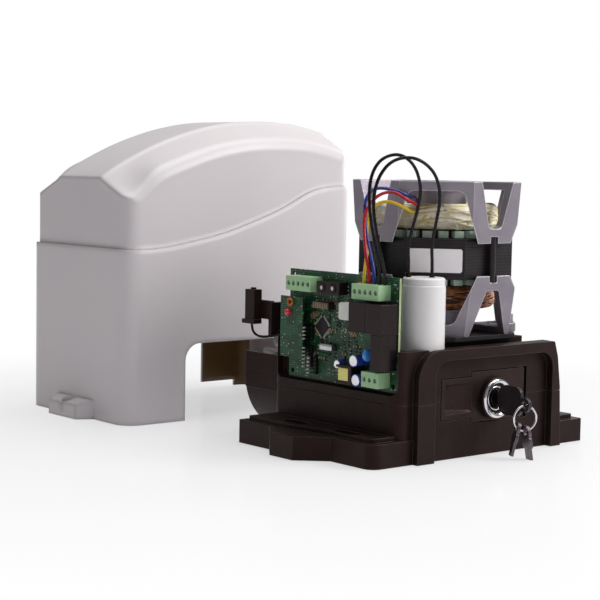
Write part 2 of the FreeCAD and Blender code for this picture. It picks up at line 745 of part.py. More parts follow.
def gear_face(module, teeth, play, root_drop):
    """Return the flat outline of a gear with straight-backed involute-like teeth."""
    pitch_radius = module * teeth / 2
    base_radius = pitch_radius * math.cos(PRESSURE)
    outer = pitch_radius + module
    root = pitch_radius - root_drop * module
    half_pitch = math.pi / (2 * teeth) - play / (2 * pitch_radius)

    def half_angle(radius):
        """Return the half angle of a tooth at a radius."""
        def involute(r):
            turn = math.acos(min(1.0, base_radius / r))
            return math.tan(turn) - turn
        radius = max(radius, base_radius)
        return half_pitch + involute(pitch_radius) - involute(radius)

    radii = [root] + [max(root, base_radius) + (outer - max(root, base_radius)) * t
                      for t in (0.0, 0.35, 0.7, 1.0)]
    if radii[1] - radii[0] < 1e-6:
        radii = radii[1:]
    points = []
    for tooth in range(int(teeth)):
        centre = 2 * math.pi * tooth / teeth
        flank = [(r, half_angle(r)) for r in radii]
        for r, angle in flank:
            points.append(V(r * math.cos(centre - angle), r * math.sin(centre - angle), 0))
        for r, angle in reversed(flank):
            points.append(V(r * math.cos(centre + angle), r * math.sin(centre + angle), 0))
    return polygon_face(points)


def make_wheel():
    """Return the worm wheel: helical teeth at the worm's lead angle, throated rim and hub."""
    module, teeth = float(z.gear_module), float(z.wheel_teeth)
    width = float(z.wheel_width)
    lead_angle = math.atan(axial_pitch / (2 * math.pi * float(worm_pitch_radius)))
    twist = math.degrees(width * math.tan(lead_angle) / (module * teeth / 2))
    layers = 3
    wires = []
    face = gear_face(module, teeth, float(z.tooth_play), 1.3)
    for i in range(layers):
        share = i / (layers - 1) - 0.5
        wire = face.OuterWire.copy()
        wire.rotate(ORIGIN, V(0, 0, 1), twist * share * WHEEL_HAND)
        wire.translate(V(0, 0, width * share))
        wires.append(wire)
    made = Part.makeLoft(wires, True, True)
    web = Part.makeCylinder(module * teeth / 2 - 6, 4, V(0, 0, width / 2 - 4))
    web = web.cut(Part.makeCylinder(15, 6, V(0, 0, width / 2 - 5)))
    other = web.mirror(ORIGIN, V(0, 0, 1))
    made = made.cut(web).cut(other)
    made = made.cut(Part.makeCylinder(float(z.output_radius), width + 2, V(0, 0, -width / 2 - 1)))
    made.rotate(ORIGIN, V(1, 0, 0), -90)
    made.rotate(ORIGIN, V(0, 1, 0), WHEEL_PHASE)
    made.translate(V(float(wheel_x), float(wheel_y), float(z.axis_height)))
    return solid("wheel_solid", made)


WHEEL_HAND = 1
WHEEL_PHASE = 7.2
node("worm", make_worm())
node("worm_wheel", make_wheel())
pinion_start = z.guard_end - z.pinion_width - 4
shaft_end = z.guard_end - 1


def make_output_shaft():
    """Return the output shaft with the collar that the pinion stops against."""
    shaft = rod("output_round", "y", (wheel_x, front_bush_y + 2.3, z.axis_height), z.output_radius,
                shaft_end - front_bush_y - 2.3)
    collar = rod("output_collar", "y", (wheel_x, z.case_rear + 3.5, z.axis_height),
                 z.output_radius + 5, pinion_start - z.case_rear - 3.5)
    return fuse("output_fused", shaft, collar)


node("output_shaft", make_output_shaft())


def make_pinion():
    """Return the rack pinion with its hub."""
    face = gear_face(float(z.pinion_module), float(z.pinion_teeth), 0.3, 1.25)
    made = face.extrude(V(0, 0, float(z.pinion_width)))
    made = made.cut(Part.makeCylinder(float(z.output_radius), float(z.pinion_width) + 2,
                                      V(0, 0, -1)))
    made.rotate(ORIGIN, V(1, 0, 0), -90)
    made.translate(V(float(wheel_x), float(pinion_start), float(z.axis_height)))
    return solid("pinion_solid", made)


node("rack_pinion", make_pinion())
clip_y = pinion_start + z.pinion_width


def make_clip():
    """Return the retaining ring on the end of the output shaft."""
    ring = cut("clip_cut", rod("clip_outer", "y", (wheel_x, clip_y, z.axis_height),
                               z.output_radius + 3, 1.5),
               rod("clip_inner", "y", (wheel_x, clip_y - 1, z.axis_height), z.output_radius, 4),
               span("clip_gap", wheel_x - 2, wheel_x + 2, clip_y - 1, clip_y + 3,
                    z.axis_height + 5, z.axis_height + 20))
    return ring


node("pinion_clip", make_clip())


def make_bush(name, start, length):
    """Return one bronze bush of the output shaft."""
    return cut(name, rod(name + "_outer", "y", (wheel_x, start, z.axis_height), bush_radius, length),
               rod(name + "_inner", "y", (wheel_x, start - 1, z.axis_height),
                   z.output_radius + z.pin_clear, length + 2))


node("front_bush", make_bush("front_bush_cut", front_bush_y + 2, as_size(12)))
node("rear_bush", make_bush("rear_bush_cut", rear_bush_y, z.case_rear - rear_bush_y))

# ---------------------------------------------------------------- motor
motor_axis = (z.worm_x, z.worm_y)


def ring_of(name, low, high, outer, inner):
    """Return a ring round the motor axis."""
    return cut(name, rod(name + "_outer", "z", (*motor_axis, low), outer, as_size(high) - low),
               rod(name + "_inner", "z", (*motor_axis, low - 1), inner, as_size(high) - low + 2))


node("motor_shaft", rod("motor_shaft_rod", "z", (*motor_axis, z.floor_thick + 1.3), z.shaft_radius,
                        z.crown_top - z.floor_thick - 3))
node("rotor_core", ring_of("rotor_ring", z.stack_base - 1, z.stack_top + 1, z.rotor_radius,
                           z.shaft_radius))


def octagon(flat, side):
    """Return the eight corners of the stator's outline, centred on the motor axis."""
    half = float(side) / 2
    flat = float(flat)
    ring = [(flat, -half), (flat, half), (half, flat), (-half, flat),
            (-flat, half), (-flat, -half), (-half, -flat), (half, -flat)]
    return [V(a, b, 0) for a, b in ring]


def prism(points, low, high):
    """Return an upright prism on a flat outline."""
    made = polygon_face(points).extrude(V(0, 0, float(high) - float(low)))
    made.translate(V(0, 0, float(low)))
    return made


def at_motor(shape):
    """Move a shape from the origin to the motor axis."""
    shape.translate(V(float(z.worm_x), float(z.worm_y), 0))
    return shape


def quarter_turns(shape, first=0.0):
    """Return four copies of a shape, a quarter turn apart."""
    copies = []
    for i in range(4):
        copy = shape.copy()
        copy.rotate(ORIGIN, V(0, 0, 1), first + 90 * i)
        copies.append(copy)
    return copies


def make_stator():
    """Return the laminated stack: an octagon with slots for the windings and bolt grooves."""
    low, high = float(z.stack_base), float(z.stack_top)
    made = prism(octagon(z.stator_flat, z.stator_side), low, high)
    bore = float(z.rotor_radius + z.air_gap)
    made = made.cut(Part.makeCylinder(bore, high - low + 2, V(0, 0, low - 1)))
    tools = []
    for i in range(SLOT_COUNT):
        slot_tool = Part.makeBox(9.5, 4.4, high - low + 2, V(31.5, -2.2, low - 1))
        slot_tool = slot_tool.fuse(Part.makeBox(6, 1.6, high - low + 2, V(26.5, -0.8, low - 1)))
        slot_tool.rotate(ORIGIN, V(0, 0, 1), 360 / SLOT_COUNT * (i + 0.5))
        tools.append(slot_tool)
    groove = Part.makeCylinder(float(z.tie_radius) + 0.3, high - low + 2,
                               V(0, -float(z.tie_circle), low - 1))
    made = made.cut(Part.makeCompound(tools + quarter_turns(groove)))
    return solid("stator_solid", at_motor(made))


SLOT_COUNT = 24
node("stator_core", make_stator())


def make_liners():
    """Return the green slot liners that stand out above and below the stack."""
    pieces = []
    low, high = float(z.stack_base), float(z.stack_top)
    for i in range(SLOT_COUNT):
        piece = Part.makeBox(9.1, 4.0, high - low + 9.4, V(31.7, -2.0, low - 4.7))
        for start in (low - 4.7, high + 0.2):
            piece = piece.fuse(Part.makeBox(6.5, 6.6, 4.5, V(36.0, -3.3, start)))
        piece.rotate(ORIGIN, V(0, 0, 1), 360 / SLOT_COUNT * (i + 0.5))
        pieces.append(piece)
    return solid("liner_solids", at_motor(Part.makeCompound(pieces)))


node("slot_liners", make_liners())


def winding(low, high):
    """Return one wound head as a rounded ring between two heights."""
    outer, inner = float(z.winding_radius), float(z.winding_bore)
    lip = min(5.0, (high - low) / 3)
    points = [V(inner, 0, low), V(outer - 3, 0, low), V(outer, 0, low + lip / 2),
              V(outer, 0, high - lip), V(outer - lip, 0, high), V(inner + lip, 0, high),
              V(inner, 0, high - lip)]
    return at_motor(polygon_face(points).revolve(ORIGIN, V(0, 0, 1), 360))


stack_low, stack_high = float(z.stack_base), float(z.stack_top)
node("upper_winding", solid("upper_winding_ring", winding(stack_high + 5, stack_high + 24)))
lower_head = winding(stack_low - 22, stack_low - 5)
node("lower_winding", solid("lower_winding_ring", lower_head))


def wedge_window(half_low, half_high, low, high, turn, at_low=0.0, at_high=0.0):
    """Return a trapezoid tool that points outwards from the axis at the given angle.

    at_low and at_high are the radii of its lower and upper corners.
    """
    face = polygon_face([V(0, -half_low, low), V(0, half_low, low), V(0, half_high, high),
                         V(0, -half_high, high)])
    made = face.extrude(V(90, 0, 0))
    for radius, height in ((at_low, low), (at_high, high)):
        if radius:
            made = made.makeFillet(radius, [
                e for e in made.Edges if abs(e.tangentAt(e.FirstParameter).x) > 0.9
                and abs(e.CenterOfMass.z - height) < 0.1])
    made.translate(V(20, 0, 0))
    made.rotate(ORIGIN, V(0, 0, 1), turn)
    return made


def bracket_shell(low, high):
    """Return the eight-sided band that both cast brackets are cut from."""
    proud = float(z.bracket_proud)
    outer = Part.makeLoft([
        Part.makePolygon(closed(octagon(z.stator_flat + proud - 1, z.bracket_side - 2), low)),
        Part.makePolygon(closed(octagon(z.stator_flat + proud + 1, z.bracket_side + 2), high))],
        True, True)
    inner = prism(octagon(z.stator_flat + 0.15, z.stator_side + 0.1), low - 1, high + 1)
    return outer.cut(inner)


def make_crown():
    """Return the upper bracket: four feet, V-shaped legs, corner bars and the bearing hub."""
    foot, top = float(crown_foot), float(z.crown_top)
    stack = float(z.stack_top)
    shell = bracket_shell(foot, top)
    seat = prism(octagon(z.stator_flat + 0.15, z.stator_side + 0.1), stack, stack + 6.5)
    seat = seat.cut(Part.makeCylinder(float(z.winding_radius) + 2, 20, V(0, 0, stack - 1)))
    spider = prism(octagon(z.stator_flat + 1, z.stator_side + 1), top - 5.5, top)
    hub = Part.makeCylinder(21, 16.5, V(0, 0, top - 16.5))
    made = shell.fuse(seat).fuse(spider).fuse(hub).removeSplitter()
    tools = []
    for turn in (45, 135, 225, 315):
        tools.append(wedge_window(29, 18.5, foot - 1, top - 6.5, turn, 0, 6).common(
            Part.makeCylinder(90, 80, V(0, 0, foot - 2)).cut(
                Part.makeCylinder(float(z.winding_radius) + 1.5, 80, V(0, 0, foot - 2)))))
    for turn in (0, 90, 180, 270):
        open_side = wedge_window(6, 15.5, foot + 10, top + 1, turn, 3.5)
        tools.append(open_side.common(Part.makeCylinder(90, 80, V(0, 0, foot)).cut(
            Part.makeCylinder(24, 80, V(0, 0, foot)))))
    notch = Part.makeBox(7.2, 9, 9, V(-3.6, -float(z.tie_circle) - 4.5, foot - 4.5))
    tools += quarter_turns(notch)
    tools.append(Part.makeCylinder(float(z.bearing_outer), 12, V(0, 0, top - 17.5)))
    tools.append(Part.makeCylinder(float(z.shaft_radius) + 1, 30, V(0, 0, top - 20)))
    for tool in tools:
        made = made.cut(tool)
    return solid("crown_solid", at_motor(made))


def make_cradle():
    """Return the lower bracket: bolted feet, A-shaped legs, heads under the stack and hub."""
    foot, head = float(cradle_foot), float(cradle_head)
    stack = float(z.stack_base)
    proud = float(z.bracket_proud)
    outer = Part.makeLoft([
        Part.makePolygon(closed(octagon(z.stator_flat, z.stator_side - 3), foot)),
        Part.makePolygon(closed(octagon(z.stator_flat + proud - 1, z.bracket_side - 1), stack - 6)),
        Part.makePolygon(closed(octagon(z.stator_flat + proud - 1, z.bracket_side - 1), head))],
        True, True)
    inner = Part.makeLoft([
        Part.makePolygon(closed(octagon(z.stator_flat - 6, z.stator_side - 8), foot - 1)),
        Part.makePolygon(closed(octagon(z.stator_flat + 0.15, z.stator_side + 0.1), stack - 6)),
        Part.makePolygon(closed(octagon(z.stator_flat + 0.15, z.stator_side + 0.1), head + 1))],
        True, True)
    shell = outer.cut(inner)
    seat = prism(octagon(z.stator_flat + 0.15, z.stator_side + 0.1), stack - 6.5, stack)
    seat = seat.cut(Part.makeCylinder(float(z.winding_radius) + 2, 20, V(0, 0, stack - 10)))
    base = prism(octagon(z.stator_flat - 1, z.stator_side - 4), foot, foot + 5)
    hub = Part.makeCylinder(21, 15, V(0, 0, foot))
    made = shell.fuse(seat).fuse(base).fuse(hub)
    lug = Part.makeCylinder(7.5, 6, V(float(z.cradle_bolt_circle), 0, foot))
    lug = lug.fuse(Part.makeBox(12, 15, 6, V(float(z.cradle_bolt_circle) - 12, -7.5, foot)))
    for copy in quarter_turns(lug, 45):
        made = made.fuse(copy)
    made = made.removeSplitter()
    tools = []
    for turn in (45, 135, 225, 315):
        tools.append(wedge_window(13.5, 29, foot + 8, head + 1, turn, 6).common(
            Part.makeCylinder(90, 80, V(0, 0, foot)).cut(
                Part.makeCylinder(24, 80, V(0, 0, foot)))))
    for turn in (0, 90, 180, 270):
        open_side = wedge_window(18, 6, foot - 1, head - 10, turn, 0, 3.5)
        tools.append(open_side.common(Part.makeCylinder(90, 80, V(0, 0, foot - 2)).cut(
            Part.makeCylinder(24, 80, V(0, 0, foot - 2)))))
    notch = Part.makeBox(7.2, 9, 9, V(-3.6, -float(z.tie_circle) - 4.5, head - 4.5))
    tools += quarter_turns(notch)
    tools.append(Part.makeCylinder(float(z.bearing_outer), 12, V(0, 0, foot + 5)))
    tools.append(Part.makeCylinder(float(z.shaft_radius) + 1, 30, V(0, 0, foot - 5)))
    bolt_hole = Part.makeCylinder(3.1, 20, V(float(z.cradle_bolt_circle), 0, foot - 5))
    tools += quarter_turns(bolt_hole, 45)
    head_room = Part.makeCylinder(7.5, 12, V(float(z.cradle_bolt_circle), 0, foot + 6))
    tools += quarter_turns(head_room, 45)
    for tool in tools:
        made = made.cut(tool)
    return solid("cradle_solid", at_motor(made))


def closed(points, height):
    """Return the outline at a height, closed on itself."""
    lifted = [V(p.x, p.y, float(height)) for p in points]
    return lifted + lifted[:1]


node("upper_bracket", make_crown())
node("lower_bracket", make_cradle())


def make_motor_plate():
    """Return the flange plate between the motor and the housing."""
    low = float(boss_top)
    made = prism(octagon(z.stator_flat - 1, z.stator_side + 12), low, float(cradle_foot))
    made = made.cut(Part.makeCylinder(float(z.shaft_radius) + 3, 20, V(0, 0, low - 5)))
    bolt_hole = Part.makeCylinder(3.1, 20, V(float(z.cradle_bolt_circle), 0, low - 5))
    made = made.cut(Part.makeCompound(quarter_turns(bolt_hole, 45)))
    return solid("motor_plate_solid", at_motor(made))


node("motor_plate", make_motor_plate())


def make_motor_bolts():
    """Return the four bolts that hold the motor down, each a hexagon head on a washer."""
    top = float(cradle_foot) + 6
    circle = float(z.cradle_bolt_circle)
    hexagon = [V(circle + 5.6 * math.cos(math.radians(a)), 5.6 * math.sin(math.radians(a)), 0)
               for a in range(0, 360, 60)]
    bolt = Part.makeCylinder(6.2, 1.2, V(circle, 0, top))
    bolt = bolt.fuse(prism(hexagon, top + 1.2, top + 6.0))
    bolt = bolt.fuse(Part.makeCylinder(3.0, float(z.plate_thick) + 7, V(circle, 0, top - 9)))
    return solid("motor_bolt_solids", at_motor(Part.makeCompound(quarter_turns(bolt, 45))))


node("motor_bolts", make_motor_bolts())


def make_tie_bolts():
    """Return the four rods that pull the brackets onto the stack."""
    low, high = float(cradle_head) - 4.5, float(crown_foot) + 4.5
    bolt = Part.makeCylinder(float(z.tie_radius), high - low, V(0, -float(z.tie_circle), low))
    return solid("tie_bolt_solids", at_motor(Part.makeCompound(quarter_turns(bolt))))


node("tie_bolts", make_tie_bolts())


def make_bearing(name, low):
    """Return one ball bearing as a ring."""
    return ring_of(name, low, as_size(low) + z.bearing_width, z.bearing_outer - 0.02,
                   z.shaft_radius + z.pin_clear)


node("upper_bearing", make_bearing("upper_bearing_ring", z.crown_top - 16.3))
node("lower_bearing", make_bearing("lower_bearing_ring", cradle_foot + 5.1))
node("worm_bearing", ring_of("worm_bearing_ring", z.floor_thick + 1, z.floor_thick + 8.8,
                             as_size(10.98), z.shaft_radius + z.pin_clear))


# ---------------------------------------------------------------- start capacitor
def make_can():
    """Return the capacitor can with the rolled edge near its top."""
    base, top = float(z.deck_height), float(z.deck_height + z.can_height)
    radius = float(z.can_radius)
    points = [V(0, 0, base), V(radius - 0.8, 0, base), V(radius, 0, base + 0.8),
              V(radius, 0, top - 5.5), V(radius - 0.5, 0, top - 5), V(radius - 0.5, 0, top - 1),
              V(radius - 1.5, 0, top), V(0, 0, top)]
    made = polygon_face(points).revolve(ORIGIN, V(0, 0, 1), 360)
    made.translate(V(-float(z.can_x), -float(z.can_y), 0))
    return solid("can_solid", made)


node("capacitor", make_can())
can_top = float(z.deck_height + z.can_height)
across = V(0.767, -0.641, 0)
can_centre = V(-float(z.can_x), -float(z.can_y), can_top)
TAGS = {"near": can_centre + across * 5.2, "far": can_centre - across * 10.4}


def make_tags():
    """Return the two insulated tags on top of the capacitor."""
    pieces = [Part.makeCylinder(1.9, 3.0, at) for at in TAGS.values()]
    return solid("tag_solids", Part.makeCompound(pieces))


node("capacitor_tags", make_tags())

# ---------------------------------------------------------------- control board
board_back = -z.case_left + z.pocket_depth - 0.2
board_face = board_back - z.board_thick


def on_board(name, y0, y1, z0, z1, depth, lift=0.0):
    """Return a block that stands on the board's component side."""
    return span(name, board_face - lift - depth, board_face - lift, y0, y1, z0, z1)


def drum(name, y, height, radius, depth, lift=0.0):
    """Return a round part whose axis stands out from the board."""
    return rod(name, "x", (board_face - lift - depth, y, height), radius, depth)


def make_board():
    """Return the main circuit board with its corner holes."""
    plate = span("board_plate", board_face, board_back, -z.board_front, z.board_rear,
                 z.board_low, z.board_high)
    holes = [rod(f"board_hole{i}", "x", (board_face - 1, y, height), 1.7, 5)
             for i, (y, height) in enumerate((
                 (z.board_rear - 4, z.board_low + 4), (4 - z.board_front, z.board_low + 4),
                 (z.board_rear - 4, z.board_high - 4), (4 - z.board_front, z.board_high - 4)))]
    return cut("board_cut", plate, *holes)


node("main_board", make_board())
terminal_face = board_face - z.block_depth
ENTRY_SETBACK = 8.2


def terminal(name, y_high, poles, z0):
    """Return a terminal block: wire holes on top, screw wells on its face."""
    y_low = as_size(y_high) - z.pole_pitch * poles - 0.6
    block = span(name + "_block", terminal_face, board_face, y_low, y_high, z0, z0 + z.block_tall)
    tools = []
    for i in range(poles):
        y = as_size(y_high) - 0.3 - z.pole_pitch * (i + 0.5)
        tools.append(rod(f"{name}_well{i}", "x", (terminal_face - 1, y, z0 + z.block_tall / 2),
                         1.7, 4))
        tools.append(rod(f"{name}_entry{i}", "z",
                         (terminal_face + ENTRY_SETBACK, y, z0 + z.block_tall - 3), 1.5, 5))
    return cut(name, block, *tools)


upper_blocks = z.board_high - 5.2 - z.block_tall
node("left_terminal", terminal("left_terminal_cut", as_size(48.2), 5, upper_blocks + 1.2))
right_start = as_size(-19.9)
node("right_terminal", terminal("right_terminal_cut", right_start, 5, upper_blocks))
node("lower_terminal", terminal("lower_terminal_cut", as_size(-31), 3, z.board_low + 3))

relay_low = z.board_high - 36.5
node("relays", group("relay_pair", [
    on_board(f"relay{i}", as_size(-22) - (z.relay_wide + 0.4) * (i + 1) + 0.4,
             as_size(-22) - (z.relay_wide + 0.4) * i, relay_low, relay_low + z.relay_tall,
             z.relay_deep) for i in range(2)]))
node("power_relay", on_board("power_relay_box", -53, -42.5, z.board_low + 15, z.board_low + 38.2,
                             as_size(14)))


def make_transformer():
    """Return the small choke: a wound coil between two flanges."""
    coil = on_board("choke_coil", -19, -9, z.board_low + 4.5, z.board_low + 13.5, as_size(11))
    low = on_board("choke_low", -22, -7, z.board_low + 3, z.board_low + 4.5, as_size(12))
    high = on_board("choke_high", -22, -7, z.board_low + 13.5, z.board_low + 15, as_size(12))
    side = on_board("choke_side", -22, -19, z.board_low + 4.5, z.board_low + 13.5, as_size(12))
    return fuse("choke", coil, low, high, side)


node("board_choke", make_transformer())
node("board_capacitors", group("electrolytics", [
    drum("electrolytic0", as_size(-24), z.board_low + 19, as_size(4), as_size(12)),
    drum("electrolytic1", as_size(-26.5), z.board_low + 6.5, as_size(4), as_size(12)),
    drum("electrolytic2", as_size(-1), z.board_low + 14, as_size(3), as_size(6)),
    drum("electrolytic3", as_size(-8), z.board_low + 50, as_size(5), as_size(7)),
]))
node("varistor", on_board("varistor_disc", -41, -37.5, z.board_low + 19, z.board_low + 29,
                          as_size(9)))


def make_chip():
    """Return the control chip, turned by an eighth of a turn on the board."""
    made = Part.makeBox(1.4, 10, 10, V(-1.4, -5, -5))
    made.rotate(ORIGIN, V(1, 0, 0), 45)
    made.translate(V(float(board_face), 20.5, float(z.board_low) + 37))
    return solid("chip_solid", made)


node("control_chip", make_chip())


def make_headers():
    """Return the pin headers: a plastic strip with its pins, in three columns."""
    pieces = []
    for y, low, count in ((30.0, 27.0, 4), (30.0, 8.0, 6), (25.0, 4.0, 5)):
        base = Part.makeBox(2.5, 2.5, 2.54 * count,
                            V(float(board_face) - 2.5, y, float(z.board_low) + low))
        for i in range(count):
            pin_z = float(z.board_low) + low + 2.54 * (i + 0.5) - 0.3
            base = base.fuse(Part.makeBox(6.5, 0.64, 0.64, V(float(board_face) - 9, y + 0.9, pin_z)))
        pieces.append(base)
    pieces.append(Part.makeBox(5.5, 17, 5, V(float(board_face) - 5.5, 9, float(z.board_low) + 49.5)))
    pieces.append(Part.makeBox(4, 13, 4, V(float(board_face) - 4, 7, float(z.board_low) + 22)))
    return solid("header_solids", Part.makeCompound(pieces))


node("pin_headers", make_headers())
trimmer_z = z.board_high - 10.3
trimmer_y = (as_size(13.5), as_size(2.5))


def make_trimmer_block():
    """Return the block that holds the two trimmers."""
    block = on_board("trimmer_body", -4, 19, trimmer_z - 4.2, trimmer_z + 4.2, as_size(8))
    wells = [rod(f"trimmer_well{i}", "x", (board_face - 9, y, trimmer_z), 3.05, 4)
             for i, y in enumerate(trimmer_y)]
    return cut("trimmer_cut", block, *wells)


node("trimmer_block", make_trimmer_block())


def make_trimmer(name, y):
    """Return one white trimmer rotor with its screwdriver slot."""
    wheel = rod(name + "_round", "x", (board_face - 8.6, y, trimmer_z), 3.0, 3.6)
    groove = span(name + "_groove", board_face - 9, board_face - 7.6, y - 0.5, y + 0.5,
                  trimmer_z - 4, trimmer_z + 4)
    return cut(name, wheel, groove)


node("trimmer_a", make_trimmer("trimmer_a_cut", trimmer_y[0]))
node("trimmer_b", make_trimmer("trimmer_b_cut", trimmer_y[1]))

daughter_x = board_face - z.board_gap
socket_rear = z.board_rear - 0.2
node("plug_in_board", group("plug_in", [
    span("plug_in_plate", daughter_x - 1.2, daughter_x, 31.8, 55.6, z.board_low + 14.5,
         z.board_low + 56.5),
    span("plug_in_socket", daughter_x, board_face, socket_rear - 2.5, socket_rear,
         z.board_low + 16, z.board_low + 50)]))

# ---------------------------------------------------------------- travel sensor
sensor_x = as_size(-78)
sensor_y = as_size(81.4)
sensor_bottom = 81.5


def make_sensor_arm():
    """Return the arm that carries the travel sensor behind the board's rear edge."""
    arm = span("sensor_bar", sensor_x, sensor_x + 3, 66, sensor_y, 85, 98)
    foot = span("sensor_foot", sensor_x, -z.case_left + z.pocket_depth + 4, 65.5, 68.5,
                coaming_top, 97)
    base = span("sensor_base", -z.case_left + 1, -z.case_left + z.pocket_depth + 4, 65, 69,
                coaming_top, coaming_top + 3)
    return fuse("sensor_arm_fused", arm, foot, base)


node("sensor_arm", make_sensor_arm())


def make_sensor():
    """Return the sealed sensor head with a rounded lower end."""
    head = span("sensor_box", sensor_x - 7, sensor_x, sensor_y - 5, sensor_y + 5, 84, 105.5)
    foot = span("sensor_shoe", sensor_x - 8.5, sensor_x - 1, sensor_y - 6.5, sensor_y + 6.5,
                sensor_bottom, 84.5)
    stud = rod("sensor_stud", "z", (sensor_x - 3.5, sensor_y, 105), 2, 1.8)
    return fuse("sensor_fused", head, foot, stud)


node("travel_sensor", make_sensor())

# ---------------------------------------------------------------- leads
entry_x = float(terminal_face) + ENTRY_SETBACK
entry_z = float(upper_blocks + z.block_tall)


def pole_y(number):
    """Return where a wire enters the right-hand terminal block."""
    return float(right_start) - 0.3 - float(z.pole_pitch) * (number + 0.5)


def can_route(tag, shape, pole):
    """Return the route from a capacitor tag over to a terminal pole.

    shape lists (across, toward, rise): millimetres along the can's width, away from
    the motor, and above the can.
    """
    start = TAGS[tag] + V(0, 0, 3.0)
    toward = V(-0.641, -0.767, 0)
    points = [start]
    for side, forward, rise in shape:
        points.append(start + across * side + toward * forward + V(0, 0, rise))
    points.append(V(entry_x, pole_y(pole), entry_z + 6))
    points.append(V(entry_x, pole_y(pole), entry_z - 3))
    return [(p.x, p.y, p.z) for p in points]


BLACK_A = ((0, 0, 7.3), (-0.7, 0.6, 16.8), (1.5, 1.8, 28.1), (5.3, 3, 42.6), (7, 4.5, 56.3),
           (2.2, 6.5, 70.9), (-7.9, 9, 78.1), (-19.6, 12, 75), (-26, 14, 65.5),
           (-27.9, 15.5, 52.6), (-26.8, 16.5, 37.2), (-23.9, 17, 21.7), (-21, 17.2, 7.5))
BLACK_B = ((0, 0, 7.5), (-0.9, 1.3, 17.8), (1.6, 3, 33), (4.1, 5, 48.8), (1.4, 7.5, 63),
           (-6.5, 10.5, 72), (-17.2, 14, 76.1), (-29.6, 17, 73.1), (-37.6, 19.5, 62.7),
           (-40.6, 21, 50.2), (-40.3, 21.8, 38), (-37.5, 22.2, 22.6), (-34, 22.3, 7.9))
lead("black_lead_a", can_route("far", BLACK_A, 3), z.lead_diameter)
lead("black_lead_b", can_route("near", BLACK_B, 4), z.lead_diameter)


def winding_route(start, middle, pole):
    """Return the route from the upper winding to a terminal pole."""
    return [start, *middle, (entry_x, pole_y(pole), entry_z + 6), (entry_x, pole_y(pole), entry_z - 3)]


lead("red_lead", winding_route(
    (-18.5, -18.0, 163.8), ((-26.5, -25.4, 168.0), (-34, -30.5, 168.9), (-44, -32.4, 172.0),
                            (-49.5, -26, 177), (-56, -19.7, 175), (-61.5, -16, 168.5),
                            (-66, -15.5, 159.5), (-68.3, -18.9, 147.5), (-71.3, -24.5, 134.5)), 1),
     z.lead_diameter)
lead("blue_lead", winding_route(
    (-17.9, -16.6, 168.0), ((-24.5, -22.0, 172.6), (-33.5, -27.2, 173), (-43, -28.0, 175.6),
                            (-48.8, -19.5, 178.7), (-54, -12, 178.7), (-60.5, -11.4, 173),
                            (-64, -13.5, 162.5), (-65, -17.5, 147.5), (-69, -27.4, 133.0)), 2),
     z.lead_diameter)
lead("yellow_lead", winding_route(
    (-18.5, -18.3, 159.8), ((-26.0, -22.6, 163.2), (-33.5, -25.8, 163.5), (-42, -27, 167),
                            (-48.5, -20.5, 170.5), (-54.5, -15.0, 168.5), (-58.5, -12.5, 162),
                            (-60.8, -12.6, 151.5), (-62.6, -16.4, 140.5), (-67.8, -20.7, 131.0)), 0),
     z.lead_diameter)
lead("sensor_lead", [
    (float(sensor_x) - 4.5, float(sensor_y), sensor_bottom + 0.8),
    (float(sensor_x) - 4.5, float(sensor_y) - 0.1, 77.3),
    (float(sensor_x) - 4.2, float(sensor_y) - 3.8, 73.6),
    (float(sensor_x) - 2.5, float(sensor_y) - 8.9, 72.4),
    (float(sensor_x) + 1.0, float(sensor_y) - 14.4, 73.2),
    (float(daughter_x) + 4, 61.0, 75.2), (float(daughter_x) + 4, float(socket_rear), 76.0)],
     z.sensor_lead)


# ---------------------------------------------------------------- cover
def side_line(lift):
    """Return the shoulder line of the cover's long side as (along, height) pairs."""
    top = float(z.cover_shoulder)
    return [(0.0, top - 47.0 + lift), (17.0, top - 35.5 + lift), (26.0, top - 27.8 + lift),
            (44.0, top - 19.7 + lift), (80.5, top - 8.1 + lift), (119.0, top - 1.3 + lift),
            (149.0, top + lift), (180.0, top - 1.4 + lift), (201.0, top - 5.3 + lift),
            (float(z.cover_length), top - 10.5 + lift)]


def crest_line(lift):
    """Return the crown line of the cover's roof as (along, height) pairs."""
    top = float(z.cover_crest)
    return [(0.0, top - 46.0 + lift), (11.0, top - 39.0 + lift), (29.0, top - 29.8 + lift),
            (47.0, top - 21.8 + lift), (65.0, top - 15.2 + lift), (84.0, top - 9.4 + lift),
            (103.0, top - 5.0 + lift), (123.0, top - 1.8 + lift), (155.0, top + lift),
            (184.0, top - 0.9 + lift), (205.0, top - 3.9 + lift),
            (float(z.cover_length), top - 7.5 + lift)]


def wave_line():
    """Return the step that runs round the cover as (along, height) pairs."""
    return [(-5.0, 130.0), (20.0, 129.5), (39.0, 131.0), (61.0, 134.7), (83.0, 138.9),
            (106.0, 145.1), (130.0, 153.0), (153.5, 162.3), (173.0, 171.5), (188.5, 175.4),
            (200.0, 176.7), (float(z.cover_length) + 5, 176.9)]


def profile_wire(line, across_at, low, shrink):
    """Return the closed side profile under a roof line, at a place across the cover."""
    length = float(z.cover_length)
    first, last = shrink, length - shrink
    scaled = [(first + (last - first) * a / length, h) for a, h in line]
    top = smooth([V(a, across_at, h) for a, h in scaled])
    start, end = top.Vertexes[0].Point, top.Vertexes[-1].Point
    return Part.Wire([Part.makeLine(V(first, across_at, low), start), top,
                      Part.makeLine(end, V(last, across_at, low)),
                      Part.makeLine(V(last, across_at, low), V(first, across_at, low))])


def rounded_prism(inset, low, high, radius):
    """Return an upright block of the cover's plan, drawn in by inset."""
    length, width = float(z.cover_length), float(z.cover_width)
    made = Part.makeBox(length - 2 * inset, width - 2 * inset, high - low, V(inset, inset, low))
    upright = [e for e in made.Edges if abs(e.tangentAt(e.FirstParameter).z) > 0.9]
    return made.makeFillet(radius, upright)


